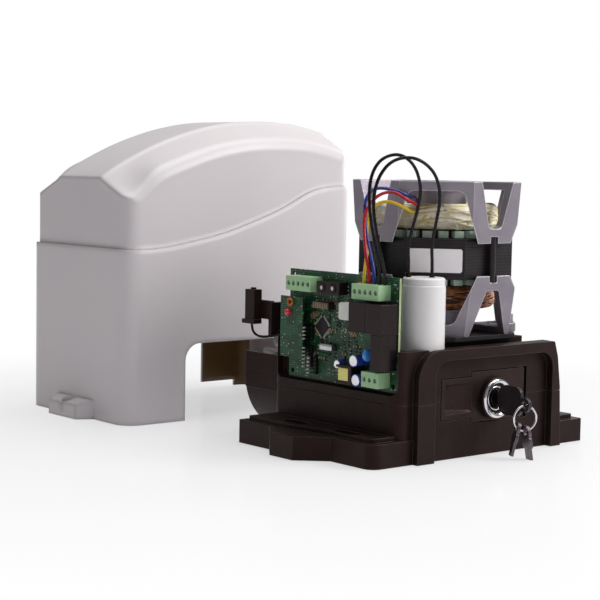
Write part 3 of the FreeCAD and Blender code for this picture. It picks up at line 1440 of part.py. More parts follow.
def cover_volume(wall):
    """Return the cover as a full solid, drawn in by the wall thickness."""
    step, width = float(z.cover_step), float(z.cover_width)
    half = width / 2
    band = float(z.band_half) - wall * 0.4
    inset = step + wall
    low = -1.0 if wall else 0.0
    drop = -wall * 1.15
    sections = []
    for across_at, line, lift in (
            (inset, side_line, -9), (inset + 2.2, side_line, -3.2), (inset + 6.5, side_line, 0),
            (half - band - 2, crest_line, -1.8), (half - band, crest_line, 0)):
        sections.append((across_at, line(lift + drop)))
    mirrored = [(width - at, line) for at, line in reversed(sections)]
    wires = [profile_wire(line, at, low, inset) for at, line in sections + mirrored]
    roof = Part.makeLoft(wires, True, True)
    upper = roof.common(rounded_prism(inset, low, 260, float(z.cover_corner) - inset))
    length = float(z.cover_length)
    wave = [V(a, -5, h - wall * 0.3) for a, h in wave_line()]
    top = smooth(wave)
    start, end = top.Vertexes[0].Point, top.Vertexes[-1].Point
    skirt_face = Part.Face(Part.Wire([
        top, Part.makeLine(end, V(length + 5, -5, low)),
        Part.makeLine(V(length + 5, -5, low), V(-5, -5, low)),
        Part.makeLine(V(-5, -5, low), start)]))
    skirt = skirt_face.extrude(V(0, width + 10, 0)).common(
        rounded_prism(wall, low, 250, float(z.cover_corner) - wall))
    return upper.fuse(skirt)


def make_cover():
    """Return the cover: a moulded shell with a crowned roof, a wave step and screw feet."""
    shell = cover_volume(0.0).cut(cover_volume(float(z.cover_wall)))
    left, wide, top = float(z.cutout_left), float(z.cutout_width), float(z.cutout_top)
    opening = Part.makeBox(wide, 20, top + 10, V(left, -10, -10))
    upper_edges = [e for e in opening.Edges if abs(e.tangentAt(e.FirstParameter).y) > 0.9
                   and e.CenterOfMass.z > 0]
    opening = opening.makeFillet(13, upper_edges)
    shell = shell.cut(opening)
    rear = Part.makeBox(float(z.rear_cutout) - left, 20, top + 10,
                        V(left, float(z.cover_width) - 10, -10))
    raised = Part.makeBox(float(z.cover_length - z.cover_corner - z.rear_cutout), 20,
                          float(z.rear_lift) + 10,
                          V(float(z.rear_cutout) - 2, float(z.cover_width) - 10, -10))
    shell = shell.cut(rear.fuse(raised))
    for sign, origin in ((-1, 0.0), (1, float(z.cover_length))):
        shell = shell.fuse(foot_shape(sign, origin))
    shell = shell.removeSplitter()
    shell.translate(V(-float(z.cover_x), float(z.cover_y), 0))
    return solid("cover_solid", shell)


def foot_shape(sign, origin):
    """Return one screw foot of the cover with its sunk screw seat."""
    width = float(z.cover_width)
    low, high = width / 2 - 27, width / 2 + 27
    wall = float(z.cover_wall)
    face = polygon_face([V(-wall, low, 0), V(12, low + 8, 0), V(12, high - 8, 0), V(-wall, high, 0)])
    made = face.extrude(V(0, 0, 14))
    slope = polygon_face([V(2, 0, 15), V(20, 0, 15), V(20, 0, 8)]).extrude(V(0, width, 0))
    made = made.cut(slope)
    made = made.cut(Part.makeCylinder(5.2, 20, V(6, width / 2, 5)))
    made = made.cut(Part.makeCylinder(2.3, 20, V(6, width / 2, -1)))
    if sign < 0:
        made = made.mirror(ORIGIN, V(1, 0, 0))
    made.translate(V(origin, 0, 0))
    return made


node("cover", make_cover())


def make_cover_screws():
    """Return the two captive screws in the cover's feet."""
    pieces = []
    for x in (-6.0, float(z.cover_length) + 6.0):
        at = V(x - float(z.cover_x), float(z.cover_y) + float(z.cover_width) / 2, 0)
        head = Part.makeCylinder(4.4, 3, at + V(0, 0, 5))
        head = head.cut(Part.makeBox(8, 1.1, 2, at + V(-4, -0.55, 7)))
        pieces.append(head.fuse(Part.makeCylinder(2.2, 4.6, at + V(0, 0, 0.4))))
    return solid("cover_screw_solids", Part.makeCompound(pieces))


node("cover_screws", make_cover_screws())

# ---------------------------------------------------------------- check and write
doc.recompute()
os.makedirs("parts", exist_ok=True)
for item in doc.Objects:
    if "Invalid" in item.State or "Error" in item.State:
        raise RuntimeError(f"{item.Name} did not build: {item.State}")
for item in nodes:
    shape = item.Shape
    if shape.isNull() or not shape.isValid() or not shape.Solids:
        raise RuntimeError(f"{item.Label} has no valid solid")
for item in nodes:
    item.Shape.exportStep(os.path.join("parts", item.Label + ".step"))
print(len(nodes), "sub-parts written")
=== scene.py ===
"""Looks of the sliding gate motor: finishes, small parts, leads, light, floor and camera."""

import logging
import math
import random
from dataclasses import dataclass, field
from enum import Enum
from functools import partial
from typing import Callable, Sequence

import bmesh
import bpy
from mathutils import Matrix, Vector, noise


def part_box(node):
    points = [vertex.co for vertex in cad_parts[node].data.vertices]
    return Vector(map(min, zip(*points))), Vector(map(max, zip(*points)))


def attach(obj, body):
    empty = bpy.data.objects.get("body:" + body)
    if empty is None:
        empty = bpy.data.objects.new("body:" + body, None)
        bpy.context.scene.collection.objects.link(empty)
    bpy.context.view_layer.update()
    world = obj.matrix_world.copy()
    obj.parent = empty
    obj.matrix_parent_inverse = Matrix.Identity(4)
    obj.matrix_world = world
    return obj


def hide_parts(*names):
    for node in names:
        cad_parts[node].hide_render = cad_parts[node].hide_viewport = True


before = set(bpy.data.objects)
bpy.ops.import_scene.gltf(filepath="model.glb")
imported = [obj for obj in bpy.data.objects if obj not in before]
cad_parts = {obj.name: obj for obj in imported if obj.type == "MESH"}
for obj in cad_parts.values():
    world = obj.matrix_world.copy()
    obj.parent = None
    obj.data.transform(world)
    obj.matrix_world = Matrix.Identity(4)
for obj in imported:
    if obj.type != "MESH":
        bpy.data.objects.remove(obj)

LOG = logging.getLogger("gate_motor")
MM = 0.001
Point = tuple[float, float, float]
Tree = bpy.types.NodeTree
Socket = bpy.types.NodeSocket
Node = bpy.types.Node
Mesh = bmesh.types.BMesh
ROOT = "housing"
UP = Vector((0, 0, 1))
# Out of the board's face, and the sharpest bend that a winding keeps smooth, in degrees.
OUTWARD = (-1, 0, 0)
WOUND_EDGE = 80.0


# --- colour and nodes
def linear(sheet_colour: str) -> tuple[float, float, float, float]:
    """Turn an sRGB hex value into linear light.

    Args:
        sheet_colour: A value such as "#1c1a1a".

    Returns:
        Linear red, green, blue and an alpha of one.
    """
    digits = sheet_colour.lstrip("#")
    channels = [int(digits[i:i + 2], 16) / 255 for i in (0, 2, 4)]
    lit = [c / 12.92 if c <= 0.04045 else ((c + 0.055) / 1.055) ** 2.4 for c in channels]
    return lit[0], lit[1], lit[2], 1.0


def add_node(tree: Tree, kind: str, settings: dict | None = None) -> Node:
    """Add one shader node.

    Args:
        tree: The material's or world's node tree.
        kind: The node's type name, without the leading "ShaderNode".
        settings: Properties by name; inputs by name or number, each a socket to link, a
            value, or an sRGB hex colour.

    Returns:
        The new node.
    """
    node = tree.nodes.new("ShaderNode" + kind)
    for key, value in (settings or {}).items():
        if isinstance(value, bpy.types.NodeSocket):
            tree.links.new(value, node.inputs[key])
        elif isinstance(key, int) or key in node.inputs:
            node.inputs[key].default_value = linear(value) if isinstance(value, str) else value
        else:
            setattr(node, key, value)
    return node


def ramp(tree: Tree, factor: Socket, stops: Sequence[tuple[float, str]]) -> Socket:
    """Colour a value by a ramp.

    Args:
        tree: The node tree.
        factor: The value from zero to one.
        stops: Places and their sRGB hex colours.

    Returns:
        The ramp's colour output.
    """
    node = add_node(tree, "ValToRGB", {"Fac": factor})
    while len(node.color_ramp.elements) < len(stops):
        node.color_ramp.elements.new(0.5)
    for element, (place, colour) in zip(node.color_ramp.elements, stops):
        element.position = place
        element.color = linear(colour)
    return node.outputs["Color"]


def blend(tree: Tree, share: Socket, under: Socket | str, over: Socket | str) -> Socket:
    """Return one colour laid over another, by a share from zero to one."""
    return add_node(tree, "Mix", {"data_type": "RGBA", 0: share, 6: under, 7: over}).outputs[2]


def reckon(tree: Tree, operation: str, *values: Socket | float, clamp: bool = False) -> Socket:
    """Return a sum, product or other result of sockets and numbers."""
    settings = {"operation": operation, "use_clamp": clamp, **dict(enumerate(values))}
    return add_node(tree, "Math", settings).outputs["Value"]


def axis_of(tree: Tree, vector: Socket, axis: str) -> Socket:
    """Return the X, Y or Z part of a vector."""
    return add_node(tree, "SeparateXYZ", {"Vector": vector}).outputs[axis]


def per_mm(size: float) -> float:
    """Return the texture scale whose cells are size millimetres wide."""
    return 1.0 / (size * MM)


def noise_of(tree: Tree, place: Socket, size: float, detail: float, **more: float) -> Socket:
    """Return a noise whose patches are size millimetres wide, with more node settings."""
    settings = {"Scale": per_mm(size), "Detail": detail, "Vector": place, **more}
    return add_node(tree, "TexNoise", settings).outputs["Fac"]


# --- finishes
# Wider roundings than this take more samples.
WIDE_ROUNDING_MM = 3.0


@dataclass(frozen=True)
class Finish:
    """A plain moulded, cast or drawn surface with fine grain and slight colour change.

    Attributes:
        name: What the real material is called.
        colour: Main sRGB colour.
        second: The colour that it drifts to, by patches of drift_mm.
        grain_mm: Width of the surface grain.
        grain: Strength of the grain's relief.
        specular: Strength of the clear reflection, 0.5 for its true value.
        edge: sRGB colour of the highlight painted along sharply bent edges, or nothing.
        rounding_mm: Radius by which the shading softens edges.
        spread: How far the roughness strays to either side.
    """

    name: str
    colour: str
    second: str
    roughness: float = 0.5
    metallic: float = 0.0
    ior: float = 1.5
    grain_mm: float = 0.8
    grain: float = 0.1
    drift_mm: float = 14.0
    coat: float = 0.0
    rounding_mm: float = 0.0
    spread: float = 0.12
    specular: float = 0.5
    tint: str = "#ffffff"
    # sRGB colour of the highlight painted along sharply bent edges; empty for none.
    edge: str = ""

    def material(self) -> bpy.types.Material:
        """Return a new material with every socket of its shader filled."""
        material = bpy.data.materials.new(self.name)
        material.use_nodes = True
        tree = material.node_tree
        shader = tree.nodes["Principled BSDF"]
        fixed: dict[str, object] = {"Metallic": self.metallic, "Roughness": self.roughness}
        if not self.metallic:
            fixed |= {"IOR": self.ior, "Specular IOR Level": self.specular,
                      "Specular Tint": linear(self.tint)}
        if self.coat:
            fixed |= {"Coat Weight": self.coat, "Coat Roughness": 0.12}
        for socket, value in fixed.items():
            shader.inputs[socket].default_value = value
        material.diffuse_color = linear(self.colour)
        colour = self.fill(tree, shader, add_node(tree, "TexCoord").outputs["Object"])
        tree.links.new(colour, shader.inputs["Base Color"])
        return material

    def add_painted_light(self, tree: Tree, place: Socket, colour: Socket) -> Socket:
        """Paint a highlight into a colour where the surface bends sharply.

        Args:
            tree: The node tree.
            place: The object coordinates; not used here, only by Shell's version.
            colour: The colour of the flat surface.

        Returns:
            The colour with its painted edge highlight.
        """
        if not self.edge:
            return colour
        # Painted edge highlight: where the bevelled normal turns from the true normal, the edge
        # colour is blended in.
        bent = add_node(tree, "Bevel", {"samples": 6, "Radius": self.rounding_mm * MM})
        flat = add_node(tree, "NewGeometry")
        match = add_node(tree, "VectorMath", {"operation": "DOT_PRODUCT",
                                              0: bent.outputs["Normal"],
                                              1: flat.outputs["Normal"]})
        share = add_node(tree, "MapRange", {"From Min": 0.995, "From Max": 0.8,
                                            "Value": match.outputs["Value"]})
        return blend(tree, share.outputs["Result"], colour, self.edge)

    def roughen(self, tree: Tree, shader: Node, pattern: Socket, low: float,
                high: float) -> None:
        """Let the roughness follow a pattern.

        Args:
            tree: The node tree.
            shader: The Principled shader.
            pattern: The pattern, from zero to one.
            low: The least roughness.
            high: The greatest roughness.
        """
        rough = add_node(tree, "MapRange", {"From Min": 0.3, "From Max": 0.7, "To Min": low,
                                            "To Max": high, "Value": pattern})
        tree.links.new(rough.outputs["Result"], shader.inputs["Roughness"])

    def relief(self, tree: Tree, shader: Node, height: Socket, strength: float,
               depth_mm: float) -> None:
        """Drive the shader's normal from a height, with softened edges where asked.

        Args:
            tree: The node tree.
            shader: The Principled shader.
            height: The height, from zero to one.
            strength: Strength of the relief.
            depth_mm: Its depth.
        """
        settings = {"Height": height, "Strength": strength, "Distance": depth_mm * MM}
        if self.rounding_mm:
            samples = 4 if self.rounding_mm < WIDE_ROUNDING_MM else 12
            edge = add_node(tree, "Bevel", {"samples": samples, "Radius": self.rounding_mm * MM})
            settings["Normal"] = edge.outputs["Normal"]
        bump = add_node(tree, "Bump", settings)
        tree.links.new(bump.outputs["Normal"], shader.inputs["Normal"])

    def fill(self, tree: Tree, shader: Node, place: Socket) -> Socket:
        """Fill the shader's roughness and normal, and draw its colour.

        Args:
            tree: The node tree.
            shader: The Principled shader.
            place: The object coordinates, which stay with the piece.

        Returns:
            The colour.
        """
        drift = noise_of(tree, place, self.drift_mm, 3.0)
        colour = ramp(tree, drift, ((0.35, self.colour), (0.68, self.second)))
        grain = noise_of(tree, place, self.grain_mm, 2.0)
        self.roughen(tree, shader, grain, max(0.03, self.roughness - self.spread),
                     min(1.0, self.roughness + self.spread))
        self.relief(tree, shader, grain, self.grain, 0.12)
        return self.add_painted_light(tree, place, colour)


@dataclass(frozen=True)
class Laminated(Finish):
    """Electrical steel sheets stacked and varnished: fine level lines round the stack."""

    sheet_mm: float = 1.1

    def fill(self, tree: Tree, shader: Node, place: Socket) -> Socket:
        """Draw the sheets' edges, with stains across them."""
        wave = add_node(tree, "TexWave", {
            "wave_type": "BANDS", "bands_direction": "Z", "Scale": per_mm(self.sheet_mm) / 20 * 3.2,
            "Distortion": 0.6, "Detail": 1.0, "Detail Scale": 3.0, "Vector": place}).outputs["Fac"]
        self.relief(tree, shader, wave, 0.5, 0.15)
        mixed = reckon(tree, "MULTIPLY_ADD", wave, 0.35, noise_of(tree, place, 9.0, 4.0))
        return ramp(tree, mixed, ((0.35, self.colour), (0.95, self.second)))


class Along(Enum):
    """Which way a machined surface's streaks run, as the stretch of their pattern."""

    Y = (1, 0.08, 1)
    Z = (1, 1, 0.08)


@dataclass(frozen=True)
class Machined(Finish):
    """Turned or drawn metal with streaks along one direction."""

    along: Along = Along.Z

    def fill(self, tree: Tree, shader: Node, place: Socket) -> Socket:
        """Draw the tool's streaks."""
        mapped = add_node(tree, "Mapping", {"Scale": self.along.value, "Vector": place})
        streak = noise_of(tree, mapped.outputs["Vector"], self.grain_mm, 3.0)
        self.roughen(tree, shader, streak, max(0.04, self.roughness - 0.1), self.roughness + 0.1)
        self.relief(tree, shader, streak, self.grain, 0.1)
        return ramp(tree, streak, ((0.3, self.colour), (0.7, self.second)))


@dataclass(frozen=True)
class SolderMask(Finish):
    """Glass-epoxy board under green solder mask, with tracks and pads showing through."""

    track: str = "#2f6a45"
    pad: str = "#b4bda9"

    def fill(self, tree: Tree, shader: Node, place: Socket) -> Socket:
        """Draw tracks in some areas and pads over the whole board."""
        flat = add_node(tree, "CombineXYZ", {"X": axis_of(tree, place, "Y"),
                                             "Y": axis_of(tree, place, "Z")}).outputs["Vector"]
        tracks = add_node(tree, "TexBrick", {
            "offset": 0.35, "squash": 0.6, "squash_frequency": 3, "Scale": per_mm(1.0),
            "Mortar Size": 0.22, "Mortar Smooth": 0.1, "Brick Width": 4.6, "Row Height": 1.5,
            "Color1": "#000000", "Color2": "#000000", "Mortar": "#ffffff",
            "Vector": flat}).outputs["Fac"]
        self.relief(tree, shader, tracks, 0.25, 0.06)
        areas = add_node(tree, "TexVoronoi", {"distance": "CHEBYCHEV", "Scale": per_mm(7.0),
                                              "Vector": flat})
        gate = reckon(tree, "GREATER_THAN", areas.outputs["Color"], 0.42)
        shown = reckon(tree, "MULTIPLY", tracks, gate)
        drift = noise_of(tree, place, 11.0, 2.0)
        ground = ramp(tree, drift, ((0.35, self.colour), (0.7, self.second)))
        dots = add_node(tree, "TexVoronoi", {"Scale": per_mm(2.9), "Randomness": 0.85,
                                             "Vector": flat})
        dot = reckon(tree, "LESS_THAN", dots.outputs["Distance"], 0.17)
        return blend(tree, dot, blend(tree, shown, ground, self.track), self.pad)


@dataclass(frozen=True)
class Wound(Finish):
    """Varnished winding: strands round the ring, taped cream above and bare copper below."""

    low: str = "#4b3220"
    base_z: float = 0.0
    top_z: float = 1.0

    def fill(self, tree: Tree, shader: Node, place: Socket) -> Socket:
        """Draw the strands, darker towards the stack."""
        patch = noise_of(tree, place, self.drift_mm, 4.0, Roughness=0.6)
        body = ramp(tree, patch, ((0.34, self.colour), (0.62, self.second), (0.75, self.low)))
        level = add_node(tree, "MapRange", {"From Min": self.base_z * MM,
                                            "From Max": self.top_z * MM,
                                            "Value": axis_of(tree, place, "Z")})
        rag = reckon(tree, "MULTIPLY_ADD", patch, 0.5, -0.25)
        edge = reckon(tree, "ADD", level.outputs["Result"], rag, clamp=True)
        self.relief(tree, shader, noise_of(tree, place, self.grain_mm, 3.0), self.grain, 0.6)
        return blend(tree, edge, self.low, body)


@dataclass(frozen=True)
class Shell(Finish):
    """A moulded shell whose inner far wall is painted amber for the warm light that shines through
    it.
    """

    # Amber painted on the inner far wall for the warm light that shines through the shell.
    painted_warm_light: str = "#7d5a24"
    wall_y: float = 250.0

    def add_painted_light(self, tree: Tree, place: Socket, colour: Socket) -> Socket:
        """Paint the warm light that shines through the shell over the faces of the far wall that
        look inward.
        """
        normal = add_node(tree, "NewGeometry").outputs["Normal"]
        inward = reckon(tree, "LESS_THAN", axis_of(tree, normal, "Y"), -0.5)
        beyond = reckon(tree, "GREATER_THAN", axis_of(tree, place, "Y"), self.wall_y * MM)
        return blend(tree, reckon(tree, "MULTIPLY", inward, beyond), colour, self.painted_warm_light)


# ABS moulded in a spark-eroded tool: a fine matt grain, and a highlight painted along its edges.
BLACK_ABS = Finish("black_abs", "#1a1211", "#211817", 0.46, grain_mm=0.9, grain=0.2,
                   rounding_mm=0.9, specular=0.2, tint="#ffcfc6", edge="#4a3f3f")
# The same ABS with a smooth face on the release lever, and the same painted edge highlight.
SMOOTH_ABS = Finish("smooth_black_abs", "#1d1514", "#251b1a", 0.36, grain_mm=1.2, grain=0.08,
                    rounding_mm=0.6, specular=0.24, tint="#ffcfc6", edge="#4a3f3f")
# Light grey ABS of the cover: even and slightly glossy, its moulded edges drawn soft; its
# inner far wall is painted amber for the warm light that shines through the shell.
COVER_ABS = Shell("cover_abs", "#d8d2d3", "#d5cfd1", 0.36, grain_mm=1.0, grain=0.04,
                  drift_mm=60.0, spread=0.05, rounding_mm=6.0)
# Die-cast aluminium, shot blasted: mid grey with a soft sheen and darker patches, and a highlight
# painted along its edges.
CAST_ALUMINIUM = Finish("cast_aluminium", "#928b94", "#857e88", 0.5, metallic=0.7, grain_mm=0.7,
                        grain=0.5, drift_mm=26.0, rounding_mm=1.3, edge="#e2dde2")
# Varnished electrical steel.
STACK = Laminated("silicon_steel", "#120d0f", "#262024", 0.45, specular=0.3)
# Black painted steel, with a highlight painted along its edges.
DARK_STEEL = Finish("dark_steel", "#181214", "#221b1d", 0.4, grain=0.2, rounding_mm=0.5,
                    specular=0.3, edge="#4b4345")
# Zinc-plated and turned steel.
STEEL = Machined("steel", "#a5a3a5", "#8a888b", 0.32, metallic=1.0, grain=0.1, rounding_mm=0.3)
# Cut gear steel, greyer than plated steel, with the cutter's streaks.
GEAR_STEEL = Machined("gear_steel", "#8f8d90", "#6d6b6f", 0.35, metallic=1.0, grain=0.12,
                      along=Along.Y, rounding_mm=0.5)
# Cast bronze of the wheel and bushes: warm, with turning marks.
BRONZE = Machined("bronze", "#b08a4a", "#8f6c34", 0.35, metallic=1.0, grain=0.12, along=Along.Y,
                  rounding_mm=0.4)
# Polished chrome: a near mirror that draws bright and dark arcs.
CHROME = Finish("chrome", "#d9d7da", "#cfccd0", 0.1, metallic=1.0, grain=0.02, spread=0.03,
                rounding_mm=0.3)
# Nickel-plated steel gone dull, on the spare keys, with a highlight painted along its edges.
KEY_NICKEL = Finish("nickel", "#6b6266", "#544c50", 0.34, metallic=0.9, grain_mm=1.6, grain=0.06,
                    rounding_mm=0.4, edge="#a59ca2")
# The black moulded head of the key that is in the lock, with a highlight painted along its edges.
KEY_HEAD = Finish("key_head", "#221b1e", "#2b2427", 0.4, grain_mm=1.4, grain=0.06,
                  rounding_mm=0.6, specular=0.35, edge="#5c5359")
# Steel of the lock's plug, painted dark for the dark surroundings that it reflects.
PLUG_PAINTED_DARK_REFLECTION = Finish("plug_steel_painted_dark", "#3a3132", "#2b2324", 0.25, metallic=0.9, grain=0.05,
                    rounding_mm=0.3)
# Glass-cloth tape and lacing cord over the upper winding.
TAPE = Wound("tape", "#f1ebd6", "#faf6e6", 0.7, grain_mm=1.3, grain=0.6, drift_mm=8.0,
             low="#8a6a3c", base_z=150.0, top_z=154.0)
LACING = Finish("lacing_cord", "#f6f0dc", "#d9c67e", 0.8, grain_mm=0.6, grain=0.5, drift_mm=7.0)
# Enamelled copper wire of the lower winding.
COPPER = Finish("copper", "#c98a62", "#7a4528", 0.35, metallic=0.5, grain_mm=1.0, grain=0.3,
                drift_mm=4.0)
# Varnished wires in shadow between the strands: dark brown.
WINDING_CORE = Finish("winding_core", "#3a2415", "#56351d", 0.6, grain_mm=1.2, grain=0.6)
# Pale green polyester film, folded out of the slots.
LINER = Finish("liner", "#e0f2e4", "#bfdcc9", 0.35, grain_mm=1.5, grain=0.1, ior=1.45,
               drift_mm=6.0)
# Glossy white polypropylene can with one long highlight.
CAN_WHITE = Finish("can_white", "#e6e3e2", "#e1dedd", 0.32, grain_mm=2.0, grain=0.04,
                   drift_mm=40.0, spread=0.05, rounding_mm=0.5)
# Deep green solder mask with paler tracks and pads.
BOARD = SolderMask("board_green", "#0f331c", "#154426", 0.4, specular=0.35)
# The bare glass-epoxy edge of the board, pale and slightly glowing.
BOARD_EDGE = Finish("glass_epoxy", "#d3e2ac", "#bfd397", 0.5, grain=0.1)
# Light green polyamide, with a lighter highlight painted along its edges.
TERMINAL = Finish("terminal_green", "#a4cc9b", "#98c28f", 0.42, grain=0.08, rounding_mm=0.5,
                  edge="#d5ebcd")
# Smooth black polyester of relays and trimmers, with soft reflections and a highlight painted along
# its edges.
RELAY = Finish("relay_black", "#191315", "#211a1c", 0.32, grain=0.04, rounding_mm=0.6,
               specular=0.22, tint="#ffe0dc", edge="#453c3e")
# Shrunk blue PVC sleeve, tight and glossy.
SLEEVE = Finish("blue_sleeve", "#2b3f9e", "#3147a6", 0.2, grain=0.03, coat=0.4)
# Bright blue lacquer over a ceramic disc, wet looking.
CERAMIC = Finish("varistor_lacquer", "#2f86d8", "#3a92e0", 0.22, grain=0.05, coat=0.5,
                 rounding_mm=0.8)
# Bare aluminium top of a small can: a bright dot.
CAN_TOP = Finish("capacitor_top", "#e4e4ea", "#cfd0d8", 0.22, metallic=0.9, grain=0.05)
# Satin white moulding, off-white in shade.
WHITE_PLASTIC = Finish("white_plastic", "#e2e2dd", "#d8d8d2", 0.4, grain=0.06, rounding_mm=0.3)
# Enamelled wire of the small coil: orange, turn by turn.
COIL_WIRE = Finish("coil_wire", "#d98145", "#a85a2c", 0.3, grain_mm=0.8, grain=0.3, drift_mm=1.5)
# Pale yellow polyester tape over the choke, smooth.
YELLOW_TAPE = Finish("yellow_tape", "#f6f08c", "#ece47c", 0.35, grain=0.1, rounding_mm=0.4)
# Tinted red epoxy dome with a small highlight.
RED_LENS = Finish("red_lens", "#c8202c", "#d83540", 0.15, grain=0.02, coat=0.4)
# Tinned steel, slightly mottled.
TINNED = Finish("tinned", "#c9c9cc", "#aeaeb2", 0.28, metallic=1.0, grain=0.2)
# Tinned pins and joints: a lit copy of tinned steel, painted bright and matt where they face the
# light.
PAINTED_LIT_TIN = Finish("painted_lit_tin", "#dedbd2", "#cbc7bd", 0.45, grain=0.1)
# Black moulding compound, matt with a fine grain.
CHIP = Finish("epoxy", "#171314", "#1f1b1c", 0.5, grain=0.15, rounding_mm=0.2, specular=0.3)
# Sandy ceramic of small capacitors, matt.
BEIGE_CHIP = Finish("ceramic_chip", "#9c8a6a", "#7a6a50", 0.5, grain=0.1)
# Smooth PVC sheath in black, with a narrow highlight.
BLACK_PVC = Finish("black_pvc", "#0e0a0b", "#141011", 0.3, grain_mm=2.5, grain=0.03,
                   specular=0.22)
# The same sheath in red, blue and yellow.
RED_PVC = Finish("red_pvc", "#b80f22", "#a80c1d", 0.3, grain_mm=2.5, grain=0.05)
BLUE_PVC = Finish("blue_pvc", "#1d3288", "#182a74", 0.3, grain_mm=2.5, grain=0.05)
YELLOW_PVC = Finish("yellow_pvc", "#e3c228", "#d4b21c", 0.3, grain_mm=2.5, grain=0.05)
# Bare white film, flat and faintly glossy.
LABEL = Finish("label_film", "#fbf6f8", "#f6f1f4", 0.35, grain=0.03, drift_mm=20.0)


# --- making pieces
_made: dict[str, bpy.types.Material] = {}


def finish_of(finish: Finish) -> bpy.types.Material:
    """Return the material of a finish, made once."""
    if finish.name not in _made:
        _made[finish.name] = finish.material()
    return _made[finish.name]


def dress(finish: Finish, *nodes: str) -> None:
    """Give nodes of the frame their finish."""
    for node in nodes:
        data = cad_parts[node].data
        data.materials.clear()
        data.materials.append(finish_of(finish))


def link_object(name: str, data: bpy.types.ID) -> bpy.types.Object:
    """Put data in the scene as an object."""
    made = bpy.data.objects.new(name, data)
    bpy.context.scene.collection.objects.link(made)
    return made


def piece_of(name: str, build: Callable[[Mesh], None], finish: Finish, body: str,
             smooth: float = 40.0) -> bpy.types.Object:
    """Make one mesh piece.

    Args:
        name: The piece's name.
        build: Fills an empty bmesh, in metres.
        finish: Its finish.
        body: The body that it rides on.
        smooth: Edges flatter than this many degrees are smooth.

    Returns:
        The linked object.
    """
    work = bmesh.new()
    build(work)
    data = bpy.data.meshes.new(name)
    work.to_mesh(data)
    work.free()
    data.shade_smooth()
    data.set_sharp_from_angle(angle=math.radians(smooth))
    data.materials.append(finish_of(finish))
    made = link_object(name, data)
    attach(made, body)
    LOG.info("piece %s on %s", name, body)
    return made


def add_block(work: Mesh, low: Point, high: Point, edge: float = 0.0) -> None:
    """Add a box.

    Args:
        work: The mesh to add to.
        low: Its low corner, in millimetres.
        high: Its high corner.
        edge: How far its edges are rounded.
    """
    made = bmesh.ops.create_cube(work, size=1.0)["verts"]
    size = [b - a for a, b in zip(low, high)]
    centre = [(a + b) / 2 for a, b in zip(low, high)]
    for vertex in made:
        vertex.co = Vector([(c + v * s) * MM for c, v, s in zip(centre, vertex.co, size)])
    if edge:
        edges = list({e for v in made for e in v.link_edges})
        bmesh.ops.bevel(work, geom=edges, offset=edge * MM, segments=2, profile=0.6,
                        affect="EDGES")


def angles(count: int) -> list[float]:
    """Return evenly spaced angles over one turn."""
    return [2 * math.pi * k / count for k in range(count)]


def add_skin(work: Mesh, rings: Sequence[Sequence[bmesh.types.BMVert]],
             closed: bool = False) -> None:
    """Join rings of as many vertices each by a skin.

    Args:
        work: The mesh that holds them.
        rings: The rings in order.
        closed: Whether the last ring joins the first.
    """
    count = len(rings[0])
    rings = list(rings) + ([rings[0]] if closed else [])
    for first, second in zip(rings, rings[1:]):
        for k in range(count):
            m = (k + 1) % count
            work.faces.new((first[k], first[m], second[m], second[k]))


def add_turned(work: Mesh, centre: Point, axis: Point,
               profile: Sequence[tuple[float, float]], sides: int = 32) -> None:
    """Add a turned form.

    Args:
        work: The mesh to add to.
        centre: The start of the axis, in millimetres.
        axis: The axis direction.
        profile: Radius and place along the axis, in millimetres.
        sides: Number of facets round it.
    """
    turn = Vector(axis).to_track_quat("Z", "Y").to_matrix()
    rings = []
    for radius, along in profile:
        ring = [Vector((radius * math.cos(a), radius * math.sin(a), along)) for a in angles(sides)]
        rings.append([work.verts.new((Vector(centre) + turn @ spot) * MM) for spot in ring])
    add_skin(work, rings)
    work.faces.new(list(reversed(rings[0])))
    work.faces.new(rings[-1])


def add_tube(work: Mesh, points: Sequence[Vector], radius: float, sides: int = 8,
             closed: bool = False) -> None:
    """Add a round tube.

    Args:
        work: The mesh to add to.
        points: Its centre line, in millimetres.
        radius: Its radius, in millimetres.
        sides: Number of facets round it.
        closed: Whether its end joins its start.
    """
    count = len(points)
    rings = []
    for i, point in enumerate(points):
        before = points[(i - 1) % count] if closed or i else point
        after = points[(i + 1) % count] if closed or i < count - 1 else point
        run = (after - before).normalized()
        side = run.cross(UP)
        side = side.normalized() if side.length > 1e-4 else Vector((1, 0, 0))
        up = side.cross(run)
        rings.append([work.verts.new((point + (side * math.cos(a) + up * math.sin(a)) * radius) * MM)
                      for a in angles(sides)])
    add_skin(work, rings, closed)


def middle(node: str) -> Vector:
    """Return the middle of a node's box, in millimetres."""
    low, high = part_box(node)
    return (low + high) / 2 / MM


def low_of(node: str) -> Vector:
    """Return the low corner of a node's box, in millimetres."""
    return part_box(node)[0] / MM


def high_of(node: str) -> Vector:
    """Return the high corner of a node's box, in millimetres."""
    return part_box(node)[1] / MM


